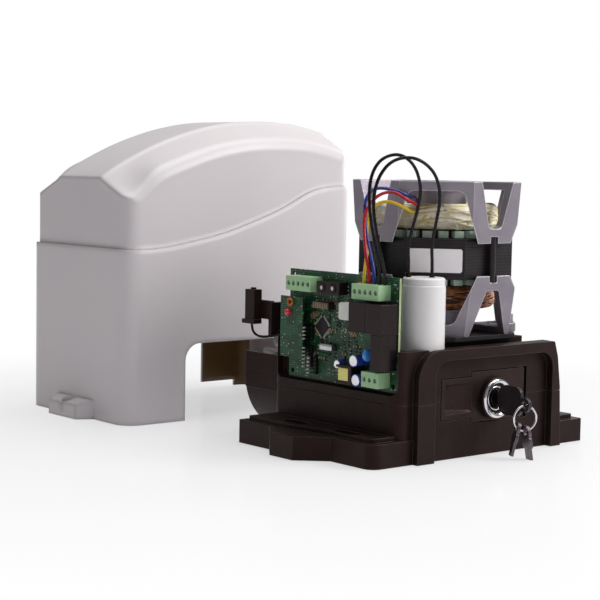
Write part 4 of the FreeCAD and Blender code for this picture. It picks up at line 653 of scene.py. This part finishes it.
# --- leads
@dataclass
class Leads:
    """The five motor leads and the sensor's lead, each a free cord on its real route."""

    diameter: float = 2.2
    sensor_diameter: float = 1.8
    entry_x: float = -71.2
    entry_z: float = 116.3
    poles: tuple[float, ...] = (-22.74, -27.82, -32.9, -37.98, -43.06)
    across: Point = (0.767, -0.641, 0.0)
    toward: Point = (-0.641, -0.767, 0.0)
    near_step: float = 5.2
    far_step: float = -10.4

    def tag(self, step: float) -> Vector:
        """Return where a lead leaves the capacitor's tag, at a step across it."""
        can = middle("capacitor")
        top = high_of("capacitor_tags").z
        return Vector((can.x, can.y, 0)) + Vector(self.across) * step + Vector((0, 0, top))

    def from_can(self, step: float, shape: Sequence[Point], pole: int) -> list[Point]:
        """Return the route from a capacitor tag to a terminal pole.

        Args:
            step: The tag's place across the can.
            shape: The route from the tag: aside, forward and up.
            pole: Number of the pole.

        Returns:
            The route's points, in millimetres.
        """
        start = self.tag(step)
        points = [start] + [start + Vector(self.across) * aside + Vector(self.toward) * forward
                            + Vector((0, 0, rise)) for aside, forward, rise in shape]
        return [tuple(p) for p in points] + self.into_pole(pole)

    def into_pole(self, pole: int) -> list[Point]:
        """Return the last two points, straight down into a terminal pole."""
        return [(self.entry_x, self.poles[pole], self.entry_z + 6),
                (self.entry_x, self.poles[pole], self.entry_z - 3)]

    def draw(self, name: str, points: Sequence[Point], diameter: float, finish: Finish,
             length: float) -> None:
        """Args:
            name: The node that it stands for.
            points: Its route, in millimetres.
            diameter: Outer diameter, in millimetres.
            finish: Its sheath.
            length: Real length, in millimetres.
        """
        curve = bpy.data.curves.new(name + "_line", "CURVE")
        curve.dimensions = "3D"
        curve.bevel_depth = diameter / 2 * MM
        curve.bevel_resolution = 3
        curve.use_fill_caps = True
        curve.resolution_u = 10
        spline = curve.splines.new("NURBS")
        spline.points.add(len(points) - 1)
        for place, point in zip(spline.points, points):
            place.co = (point[0] * MM, point[1] * MM, point[2] * MM, 1.0)
        spline.order_u = 3
        spline.use_endpoint_u = True
        curve.materials.append(finish_of(finish))
        made = link_object(name + "_sheath", curve)
        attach(made, ROOT)
        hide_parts(name)
        LOG.info("lead %s, %.0f mm", name, length)

    def build(self) -> None:
        """Draw every lead."""
        self.draw("black_lead_a", self.from_can(self.far_step, (
            (0, 0, 7.3), (-0.7, 0.6, 16.8), (1.5, 1.8, 28.1), (5.3, 3, 42.6), (7, 4.5, 56.3),
            (2.2, 6.5, 70.9), (-7.9, 9, 78.1), (-19.6, 12, 75), (-26, 14, 65.5),
            (-27.9, 15.5, 52.6), (-26.8, 16.5, 37.2), (-23.9, 17, 21.7), (-21, 17.2, 7.5)), 3),
            self.diameter, BLACK_PVC, 185.0)
        self.draw("black_lead_b", self.from_can(self.near_step, (
            (0, 0, 7.5), (-0.9, 1.3, 17.8), (1.6, 3, 33), (4.1, 5, 48.8), (1.4, 7.5, 63),
            (-6.5, 10.5, 72), (-17.2, 14, 76.1), (-29.6, 17, 73.1), (-37.6, 19.5, 62.7),
            (-40.6, 21, 50.2), (-40.3, 21.8, 38), (-37.5, 22.2, 22.6), (-34, 22.3, 7.9)), 4),
            self.diameter, BLACK_PVC, 188.7)
        self.draw("red_lead", [
            (-18.5, -18.0, 163.8), (-26.5, -25.4, 168.0), (-34, -30.5, 168.9), (-44, -32.4, 172.0),
            (-49.5, -26, 177), (-56, -19.7, 175), (-61.5, -16, 168.5), (-66, -15.5, 159.5),
            (-68.3, -18.9, 147.5), (-71.3, -24.5, 134.5)] + self.into_pole(1), self.diameter,
            RED_PVC, 116.7)
        self.draw("blue_lead", [
            (-17.9, -16.6, 168.0), (-24.5, -22.0, 172.6), (-33.5, -27.2, 173), (-43, -28.0, 175.6),
            (-48.8, -19.5, 178.7), (-54, -12, 178.7), (-60.5, -11.4, 173), (-64, -13.5, 162.5),
            (-65, -17.5, 147.5), (-69, -27.4, 133.0)] + self.into_pole(2), self.diameter, BLUE_PVC,
            122.0)
        self.draw("yellow_lead", [
            (-18.5, -18.3, 159.8), (-26.0, -22.6, 163.2), (-33.5, -25.8, 163.5), (-42, -27, 167),
            (-48.5, -20.5, 170.5), (-54.5, -15.0, 168.5), (-58.5, -12.5, 162),
            (-60.8, -12.6, 151.5), (-62.6, -16.4, 140.5), (-67.8, -20.7, 131.0)]
            + self.into_pole(0), self.diameter, YELLOW_PVC, 104.0)
        self.draw("sensor_lead", [
            (-82.5, 81.4, 82.3), (-82.5, 81.3, 77.3), (-82.2, 77.6, 73.6), (-80.5, 72.5, 72.4),
            (-77.0, 67.0, 73.2), (-72.4, 61.0, 75.2), (-72.4, 56.3, 76.0)],
            self.sensor_diameter, BLACK_PVC, 34.3)


# --- housings
@dataclass
class GearCase:
    """The two halves of the gear case, the pinion guard and the output gears."""

    def build(self) -> None:
        """Dress the case and what turns in it."""
        dress(BLACK_ABS, "lower_housing", "upper_housing", "pinion_guard")
        dress(BRONZE, "front_bush", "rear_bush", "worm_wheel")
        dress(GEAR_STEEL, "output_shaft", "rack_pinion", "pinion_clip")
        dress(STEEL, "worm", "motor_shaft", "worm_bearing", "lever_pin")


@dataclass
class ReleaseLock:
    """The release lever, its lock, the key in it and the spare key on the ring."""

    rim_radius: float = 12.0
    plug_radius: float = 7.8
    rim_steps: int = 8
    rim_sides: int = 64

    def add_rim(self, work: Mesh, radius: float, wide: float, proud: float,
                face: float) -> None:
        """Add a rounded ring.

        Args:
            work: The mesh to add to.
            radius: Its middle radius.
            wide: How wide its band is.
            proud: How far it stands out.
            face: Where its foot is along Y.
        """
        plug = middle("lock_plug")
        rings = []
        for i in range(self.rim_steps + 1):
            angle = math.pi * i / self.rim_steps
            distance, along = radius - wide / 2 * math.cos(angle), face - proud * math.sin(angle)
            rings.append([work.verts.new(Vector((plug.x + distance * math.cos(a), along,
                                                 plug.z + distance * math.sin(a))) * MM)
                          for a in angles(self.rim_sides)])
        add_skin(work, rings)

    def build(self) -> None:
        """Dress the lock and add its chrome rims."""
        dress(SMOOTH_ABS, "release_lever", "lock_body")
        dress(PLUG_PAINTED_DARK_REFLECTION, "lock_plug")
        dress(STEEL, "lock_cam")
        dress(KEY_HEAD, "key")
        dress(CHROME, "key_ring")
        dress(KEY_NICKEL, "spare_key")
        face = low_of("lock_body").y
        for name, radius, wide, proud, lift in (("lock_rim", self.rim_radius, 3.4, 1.5, 0.05),
                                                ("plug_rim", self.plug_radius, 1.6, 0.8, 1.6)):
            piece_of(name, partial(self.add_rim, radius=radius, wide=wide, proud=proud,
                                   face=face + lift), CHROME, "lever", 70)


# --- motor
@dataclass
class Motor:
    """The open motor: stack, wound heads, cast brackets, bolts and the bare label."""

    axis: tuple[float, float] = (17.0, 0.5)
    stack_face: float = 52.68
    label_wide: float = 37.0
    label_tall: float = 16.0
    head_inner: float = 29.4
    head_outer: float = 42.6
    squareness: float = 3.2
    strands: int = 46
    cords: int = 24
    laces: int = 15
    seed: int = 7

    def about(self, radius: float, angle: float, height: float) -> Vector:
        """Return the point at a radius, angle and height about the motor's axis."""
        return Vector((self.axis[0] + radius * math.cos(angle),
                       self.axis[1] + radius * math.sin(angle), height))

    def on_head(self, span: tuple[float, float], turn: float, around: float,
                swell: float) -> Vector:
        """Return a point on a winding head's lumpy surface.

        Args:
            span: The head's low and high end.
            turn: Angle about the motor's axis.
            around: Angle round the head's section.
            swell: Depth of the hollows, as a share of the section.

        Returns:
            The point, in millimetres.
        """
        low, high = span
        middle_r = (self.head_inner + self.head_outer) / 2
        half_r = (self.head_outer - self.head_inner) / 2
        middle_z, half_z = (low + high) / 2, (high - low) / 2
        c, s = math.cos(around), math.sin(around)
        stretch = (abs(c) ** self.squareness + abs(s) ** self.squareness) ** (-1 / self.squareness)
        lump = noise.noise(Vector((math.cos(turn) * 5, math.sin(turn) * 5, around * 1.2)))
        share = stretch * (1 - swell * (0.5 + 0.5 * lump))
        return self.about(middle_r + half_r * c * share, turn, middle_z + half_z * s * share)

    def add_head(self, work: Mesh, span: tuple[float, float], swell: float) -> None:
        """Add the lumpy ring of one winding head.

        Args:
            work: The mesh to add to.
            span: Its low and high end, in millimetres.
            swell: Depth of the hollows, as a share of the section.
        """
        grid = [[work.verts.new(self.on_head(span, turn, around, swell) * MM)
                 for around in angles(28)] for turn in angles(180)]
        add_skin(work, list(zip(*grid)), closed=True)

    def add_sleeve(self, work: Mesh, low: float, high: float) -> None:
        """Add the close bundle of wires that leaves the slots, between stack and head.

        Args:
            work: The mesh to add to.
            low: Its low end, in millimetres.
            high: Its high end.
        """
        section = ((30.2, low), (33.6, low), (33.9, (low + high) / 2), (33.6, high), (30.2, high))
        add_skin(work, [[work.verts.new(self.about(radius, a, height) * MM) for a in angles(72)]
                        for radius, height in section], closed=True)

    def add_strands(self, work: Mesh, span: tuple[float, float], count: int,
                    thick: float) -> None:
        """Add loose wires or cords that run round a winding head.

        Args:
            work: The mesh to add to.
            span: The low and high end of their run.
            count: How many there are.
            thick: Radius of each, in millimetres.
        """
        dice = random.Random(self.seed)
        for start in angles(count):
            around = start + dice.uniform(-0.05, 0.05)
            phase = dice.uniform(0, 6.28)
            weave = dice.choice((2, 3, 5))
            points = [self.on_head(span, turn, around + 0.28 * math.sin(weave * turn + phase), 0.1)
                      for turn in angles(120)]
            add_tube(work, points, thick, 6, closed=True)

    def add_lacing(self, work: Mesh, span: tuple[float, float]) -> None:
        """Add the lacing cord that binds the upper head, loop by loop.

        Args:
            work: The mesh to add to.
            span: Its low and high end, in millimetres.
        """
        dice = random.Random(self.seed + 1)
        for start in angles(self.laces):
            turn = start + dice.uniform(-0.04, 0.04)
            lean = dice.uniform(-0.25, 0.3)
            points = [self.on_head(span, turn + lean * math.sin(around) * 0.8, around, 0.1)
                      for around in angles(26)]
            add_tube(work, points, 0.75, 6, closed=True)

    def add_label(self, work: Mesh) -> None:
        """Add the bare label on the stack's front corner.

        Args:
            work: The mesh to add to.
        """
        normal = Vector((-1, -1, 0)).normalized()
        side = Vector((1, -1, 0)).normalized()
        stack = middle("stator_core")
        centre = Vector((self.axis[0], self.axis[1], stack.z - 1.0)) + normal * self.stack_face
        half_w, half_t, corner = self.label_wide / 2, self.label_tall / 2, 1.6
        outline = []
        for sx, sz, start in ((1, 1, 0), (-1, 1, 90), (-1, -1, 180), (1, -1, 270)):
            for i in range(5):
                a = math.radians(start + 22.5 * i)
                outline.append((sx * (half_w - corner) + corner * math.cos(a),
                                sz * (half_t - corner) + corner * math.sin(a)))
        rings = [[work.verts.new((centre + side * a + Vector((0, 0, b)) + normal * lift) * MM)
                  for a, b in outline] for lift in (0.02, 0.25)]
        for ring in rings:
            work.faces.new(ring)
        add_skin(work, rings)

    def wound(self, name: str, finish: Finish, slot: str, build: Callable[..., None],
              **sizes: object) -> bpy.types.Object:
        """Return a new smooth piece of a winding, made by build with these sizes."""
        return piece_of(name, partial(build, **sizes), finish, ROOT, WOUND_EDGE)

    def build(self) -> None:
        """Dress the motor and replace its plain winding rings."""
        dress(CAST_ALUMINIUM, "upper_bracket", "lower_bracket")
        dress(STACK, "stator_core", "rotor_core")
        dress(LINER, "slot_liners")
        dress(DARK_STEEL, "motor_plate", "tie_bolts")
        dress(STEEL, "motor_bolts", "upper_bearing", "lower_bearing")
        low, high = low_of("upper_winding").z, high_of("upper_winding").z
        low2, high2 = low_of("lower_winding").z, high_of("lower_winding").z
        stack_low, stack_high = low_of("stator_core").z, high_of("stator_core").z
        head = self.wound("taped_head", TAPE, "tape", self.add_head, swell=0.16,
                          span=(low + 0.2, high - 0.4))
        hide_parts("upper_winding")
        self.wound("lacing", LACING, "tape", self.add_lacing, span=(low + 0.4, high - 0.6))
        self.wound("taped_cords", LACING, "tape", self.add_strands, span=(low + 1.2, high - 1.4),
                   count=self.cords, thick=0.95)
        core = self.wound("copper_head", WINDING_CORE, "copper", self.add_head, swell=0.25,
                          span=(low2 + 1, high2 - 1))
        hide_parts("lower_winding")
        self.wound("copper_strands", COPPER, "copper", self.add_strands,
                   span=(low2 + 0.8, high2 - 0.8), count=self.strands, thick=0.62)
        self.wound("upper_slot_wires", WINDING_CORE, "copper", self.add_sleeve,
                   low=stack_high + 0.1, high=low + 2.5)
        self.wound("lower_slot_wires", WINDING_CORE, "copper", self.add_sleeve,
                   low=high2 - 2.5, high=stack_low - 0.1)
        piece_of("label", self.add_label, LABEL, ROOT)


@dataclass
class StartCapacitor:
    """The start capacitor in its white can."""

    def build(self) -> None:
        """Dress the can and its tags."""
        dress(CAN_WHITE, "capacitor")
        dress(BLACK_PVC, "capacitor_tags")


# --- control board
@dataclass
class ControlBoard:
    """The control board with its small parts."""

    seed: int = 11
    pitch: float = 2.54
    pole_pitch: float = 5.08
    face: float = field(init=False)
    floor: float = field(init=False)

    def __post_init__(self) -> None:
        """Find the board's component face and its foot."""
        self.face = low_of("main_board").x
        self.floor = low_of("main_board").z

    def add_rows(self, work: Mesh,
                 rows: Sequence[tuple[float, float, float, float, int]], wide: float, tall: float,
                 deep: float) -> None:
        """Add rows of small blocks that lie on the board.

        Args:
            work: The mesh to add to.
            rows: Start y and z, step in y and z, and count, in millimetres.
            wide: Width along Y.
            tall: Height along Z.
            deep: How far each stands out.
        """
        for y, z, step_y, step_z, count in rows:
            for i in range(count):
                at_y, at_z = y + step_y * i, z + step_z * i
                add_block(work, (self.face - deep, at_y, at_z),
                          (self.face, at_y + wide, at_z + tall), 0.12)

    def add_boxes(self, work: Mesh, boxes: Sequence[tuple[float, ...]],
                  edge: float = 0.3) -> None:
        """Add blocks on the board.

        Args:
            work: The mesh to add to.
            boxes: Each as depth from and to, y from and to, height from and to.
            edge: How far their edges are rounded.
        """
        for inner, outer, y0, y1, z0, z1 in boxes:
            add_block(work, (self.face - outer, y0, self.floor + z0),
                      (self.face - inner, y1, self.floor + z1), edge)

    def add_pin_tips(self, work: Mesh) -> None:
        """Add the tips of the header pins, painted bright as though lit, column by column.

        Args:
            work: The mesh to add to.
        """
        for y, low, count in ((30.0, 27.0, 4), (30.0, 8.0, 6), (25.0, 4.0, 5)):
            for i in range(count):
                at = low + self.pitch * (i + 0.5)
                self.add_boxes(work, [(7.2, 9.2, y + 0.72, y + 1.72, at - 0.5, at + 0.5)], 0.2)

    def add_edge(self, work: Mesh) -> None:
        """Add the bare edges of the board that face forward and up.

        Args:
            work: The mesh to add to.
        """
        low, high = low_of("main_board"), high_of("main_board")
        for start, end in ((low.x + 0.1, low.x + 0.6), (high.x - 0.6, high.x - 0.1)):
            add_block(work, (start, low.y - 0.06, low.z + 0.3), (end, low.y + 0.2, high.z - 0.3))

    def add_lamps(self, work: Mesh) -> None:
        """Add the two red lamps: one on the plug-in board, one by the terminals.

        Args:
            work: The mesh to add to.
        """
        dome = ((2.5, 0), (2.5, 1.4), (2.3, 2.6), (1.5, 3.6), (0.3, 4.0))
        for x, y, z in ((low_of("plug_in_board").x, 46.0, 45.5), (self.face, -16.6, 67.5)):
            add_turned(work, (x, y, self.floor + z), OUTWARD, dome, 24)

    def add_coil(self, work: Mesh) -> None:
        """Add the small ring coil at the top of the plug-in board.

        Args:
            work: The mesh to add to.
        """
        centre = Vector((low_of("plug_in_board").x - 1.2, 44.0, self.floor + 52.8))
        ring = [centre + Vector((0.25 * (-1) ** i, 2.3 * math.cos(a), 2.3 * math.sin(a)))
                for i, a in enumerate(angles(36))]
        add_tube(work, ring, 0.85, 8, closed=True)

    def add_disc(self, work: Mesh) -> None:
        """Add the round lacquered suppressor beside the power relay, with its two legs.

        Args:
            work: The mesh to add to.
        """
        lens = ((1.0, -0.2), (3.2, 0.3), (4.1, 1.1), (4.2, 1.7), (4.1, 2.3), (3.2, 3.1), (1.0, 3.6))
        add_turned(work, (self.face - 10.0, -34.0, self.floor + 23.8), (0, -1, 0), lens, 28)
        for z in (-2.2, 2.2):
            self.add_boxes(work, [(0.0, 8.0, -36.0, -35.4, 23.5 + z, 24.1 + z)], 0.1)

    def add_chip_legs(self, work: Mesh) -> None:
        """Add the fine legs round the control chip.

        Args:
            work: The mesh to add to.
        """
        centre = middle("control_chip")
        base = Vector((self.face - 0.75, centre.y, centre.z))
        for side in range(4):
            turn = Matrix.Rotation(math.radians(45 + 90 * side), 3, "X")
            for i in range(9):
                along = -4.2 + 1.05 * i
                left, right, root, tip = along - 0.25, along + 0.25, 5.0, 6.7
                corners = ((left, root), (right, root), (right, tip), (left, tip))
                work.faces.new([work.verts.new((base + turn @ Vector((0, a, b))) * MM)
                                for a, b in reversed(corners)])

    def add_screws(self, work: Mesh) -> None:
        """Add the clamp screws at the bottom of the terminals' wells.

        Args:
            work: The mesh to add to.
        """
        for node, poles in (("left_terminal", 5), ("right_terminal", 5), ("lower_terminal", 3)):
            low, high = low_of(node), high_of(node)
            for i in range(poles):
                y = high.y - 0.3 - self.pole_pitch * (i + 0.5)
                add_turned(work, (low.x + 2.9, y, (low.z + high.z) / 2), OUTWARD,
                           ((1.6, 0), (1.6, 0.8), (1.2, 1.1), (0.4, 0.9)), 16)

    def add_tops(self, work: Mesh) -> None:
        """Add the bare metal tops of the electrolytic capacitors.

        Args:
            work: The mesh to add to.
        """
        for y, z, radius, tall in ((-24, 19, 3.9, 12), (-26.5, 6.5, 3.9, 12), (-1, 14, 3, 6)):
            add_turned(work, (self.face - tall + 0.1, y, self.floor + z), OUTWARD,
                       ((radius - 0.1, 0), (radius - 0.5, 0.35), (radius - 1.2, 0.3),
                        (0.3, 0.22)), 28)

    def add_slot(self, work: Mesh, node: str) -> None:
        """Add a trimmer's slotted screw, painted bright as though lit."""
        at = middle(node)
        add_turned(work, (low_of(node).x + 1.4, at.y, at.z), OUTWARD,
                   ((1.7, 0), (1.7, 1.0), (1.2, 1.45), (0.3, 1.5)), 20)

    def build(self) -> None:
        """Dress the board and add its small parts."""
        dress(BOARD, "main_board", "plug_in_board")
        dress(TERMINAL, "left_terminal", "right_terminal", "lower_terminal")
        dress(RELAY, "relays", "power_relay", "board_choke", "trimmer_block", "trimmer_a",
              "trimmer_b")
        dress(SLEEVE, "board_capacitors")
        dress(CERAMIC, "varistor")
        dress(CHIP, "control_chip", "pin_headers")
        # The trimmers' screws take the tin that is painted bright as though lit.
        for node in ("trimmer_a", "trimmer_b"):
            piece_of(node + "_slot", partial(self.add_slot, node=node), PAINTED_LIT_TIN, node)
        dice = random.Random(self.seed)
        small = [(dice.uniform(-18, 30), dice.uniform(60, 104), 0.0, 2.3, dice.choice((2, 3, 4)))
                 for _ in range(44)]
        pale = [(dice.uniform(-18, 30), dice.uniform(58, 104), 2.6, 0.0, dice.choice((2, 3)))
                for _ in range(30)]
        shiny = [(dice.uniform(-30, 50), dice.uniform(50, 112), 0.0, self.pitch,
                  dice.choice((2, 4, 5))) for _ in range(46)]
        array = [(5.3, 5.8, 10.2 + 2 * i, 11.4 + 2 * i, 50.0, 54.2) for i in range(8)]
        film = (0.2, 7.6, -13.4, -2.6, 44.2, 56.2)
        crystal = (0.2, 4.3, 6.7, 20.3, 21.7, 26.3)
        tape = (4.0, 11.6, -19.1, -8.7, 4.7, 13.3)
        boxes, rows = self.add_boxes, self.add_rows
        for name, build, finish, slot in (
                ("board_rim", self.add_edge, BOARD_EDGE, "board_green"),
                ("pin_tips", self.add_pin_tips, PAINTED_LIT_TIN, "relay_black"),
                ("lamps", self.add_lamps, RED_LENS, "white_plastic"),
                ("ring_coil", self.add_coil, COIL_WIRE, "copper"),
                ("surge_disc", self.add_disc, CERAMIC, "blue_sleeve"),
                ("film_capacitor", partial(boxes, boxes=[film], edge=1.8), WHITE_PLASTIC,
                 "white_plastic"),
                ("crystal", partial(boxes, boxes=[crystal], edge=1.2), TINNED, "steel"),
                ("choke_tape", partial(boxes, boxes=[tape], edge=0.4), YELLOW_TAPE,
                 "white_plastic"),
                ("resistor_array", partial(boxes, boxes=array, edge=0.1), BEIGE_CHIP,
                 "relay_black"),
                ("terminal_screws", self.add_screws, TINNED, "steel"),
                ("capacitor_tops", self.add_tops, CAN_TOP, "steel"),
                ("chip_legs", self.add_chip_legs, PAINTED_LIT_TIN, "steel"),
                ("small_resistors", partial(rows, rows=small, wide=1.7, tall=1.0, deep=0.6), CHIP,
                 "relay_black"),
                ("small_capacitors", partial(rows, rows=pale, wide=1.2, tall=1.9, deep=0.8),
                 BEIGE_CHIP, "relay_black"),
                ("solder_joints", partial(rows, rows=shiny, wide=0.8, tall=0.6, deep=0.3),
                 PAINTED_LIT_TIN, "steel")):
            piece_of(name, build, finish, ROOT)


@dataclass
class TravelSensor:
    """The travel sensor and its arm."""

    def build(self) -> None:
        """Dress the sensor and its arm."""
        dress(BLACK_ABS, "travel_sensor", "sensor_arm")


@dataclass
class Cover:
    """The cover that stands beside the unit."""

    def build(self) -> None:
        """Dress the cover and its screws."""
        dress(COVER_ABS, "cover")
        dress(STEEL, "cover_screws")


# --- studio
@dataclass
class Studio:
    """The camera, the pale floor and the soft lights."""

    lens: float = 94.334
    place: Point = (-0.76507, -0.78766, 0.19030)
    heading: float = -39.89
    pitch: float = -4.754
    roll: float = 1.02

    def add_camera(self) -> None:
        """Set up the camera: heading about Z, then pitch, then roll about its own axis."""
        data = bpy.data.cameras.new("camera")
        data.lens = self.lens
        data.sensor_width = 36.0
        data.clip_start, data.clip_end = 0.05, 50.0
        camera = link_object("camera", data)
        camera.matrix_world = (
            Matrix.Translation(self.place) @ Matrix.Rotation(math.radians(self.heading), 4, "Z")
            @ Matrix.Rotation(math.radians(90 + self.pitch), 4, "X")
            @ Matrix.Rotation(math.radians(self.roll), 4, "Z"))
        bpy.context.scene.camera = camera

    def add_light(self, name: str, place: Point, aim: Point, size: float, power: float) -> None:
        """Add one square soft light.

        Args:
            name: Its name.
            place: Where it hangs, in metres.
            aim: The point it faces.
            size: Its side.
            power: Its power in watts.
        """
        data = bpy.data.lights.new(name, "AREA")
        data.shape = "SQUARE"
        data.size = size
        data.energy = power
        light = link_object(name, data)
        light.location = place
        light.rotation_mode = "QUATERNION"
        light.rotation_quaternion = (Vector(aim) - Vector(place)).to_track_quat("-Z", "Y")

    def add_floor(self) -> None:
        """Add the pale, slightly glossy floor that fades to white far away."""
        data = bpy.data.meshes.new("floor")
        work = bmesh.new()
        bmesh.ops.create_circle(work, cap_ends=True, segments=96, radius=6.0)
        work.to_mesh(data)
        work.free()
        floor = link_object("floor", data)
        floor.location = (0, 0.1, -0.0004)
        material = bpy.data.materials.new("floor_sheet")
        material.use_nodes = True
        tree = material.node_tree
        shader = tree.nodes["Principled BSDF"]
        shader.inputs["Base Color"].default_value = linear("#f4f3f8")
        shader.inputs["Roughness"].default_value = 0.16
        place = add_node(tree, "TexCoord").outputs["Object"]
        far = add_node(tree, "VectorMath", {"operation": "LENGTH", 0: place})
        fade = add_node(tree, "MapRange", {"From Min": 0.1, "From Max": 0.5, "To Min": 0.5,
                                           "Value": far.outputs["Value"]})
        rays = add_node(tree, "LightPath").outputs
        seen = reckon(tree, "MAXIMUM", rays["Is Camera Ray"], rays["Is Glossy Ray"])
        mixed = add_node(tree, "MixShader", {
            0: reckon(tree, "MULTIPLY", fade.outputs["Result"], seen), 1: shader.outputs["BSDF"],
            2: add_node(tree, "Emission", {"Color": "#ffffff", "Strength": 1.0}).outputs[0]})
        tree.links.new(mixed.outputs["Shader"], tree.nodes["Material Output"].inputs["Surface"])
        data.materials.append(material)

    def add_world(self) -> None:
        """Light the scene evenly and show white behind it."""
        world = bpy.data.worlds.new("studio")
        bpy.context.scene.world = world
        world.use_nodes = True
        tree = world.node_tree
        soft = tree.nodes["Background"]
        soft.inputs["Color"].default_value = linear("#ffffff")
        soft.inputs["Strength"].default_value = 0.24
        white = add_node(tree, "Background", {"Color": "#ffffff", "Strength": 1.0})
        mixed = add_node(tree, "MixShader", {
            0: add_node(tree, "LightPath").outputs["Is Camera Ray"],
            1: soft.outputs["Background"], 2: white.outputs["Background"]})
        tree.links.new(mixed.outputs["Shader"], tree.nodes["World Output"].inputs["Surface"])

    def build(self) -> None:
        """Set the stage."""
        self.add_camera()
        self.add_floor()
        self.add_world()
        self.add_light("overhead", (0.15, 0.0, 1.5), (0.05, 0.1, 0.0), 1.5, 18.5)
        self.add_light("key", (0.42, -0.5, 0.6), (0.0, 0.1, 0.1), 0.35, 4.6)
        self.add_light("rim", (1.3, 0.5, 0.5), (0.0, 0.0, 0.1), 0.6, 5.0)
        bpy.context.scene.view_settings.view_transform = "Standard"


def main() -> None:
    """Build every part of the scene in order."""
    logging.basicConfig(level=logging.INFO, format="%(name)s: %(message)s")
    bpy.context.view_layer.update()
    Studio().build()
    Leads().build()
    for part in (GearCase(), ReleaseLock(), Motor(), StartCapacitor(), ControlBoard(),
                 TravelSensor(), Cover()):
        part.build()
        LOG.info("%s is dressed", type(part).__name__)


if __name__ == "__main__":
    main()
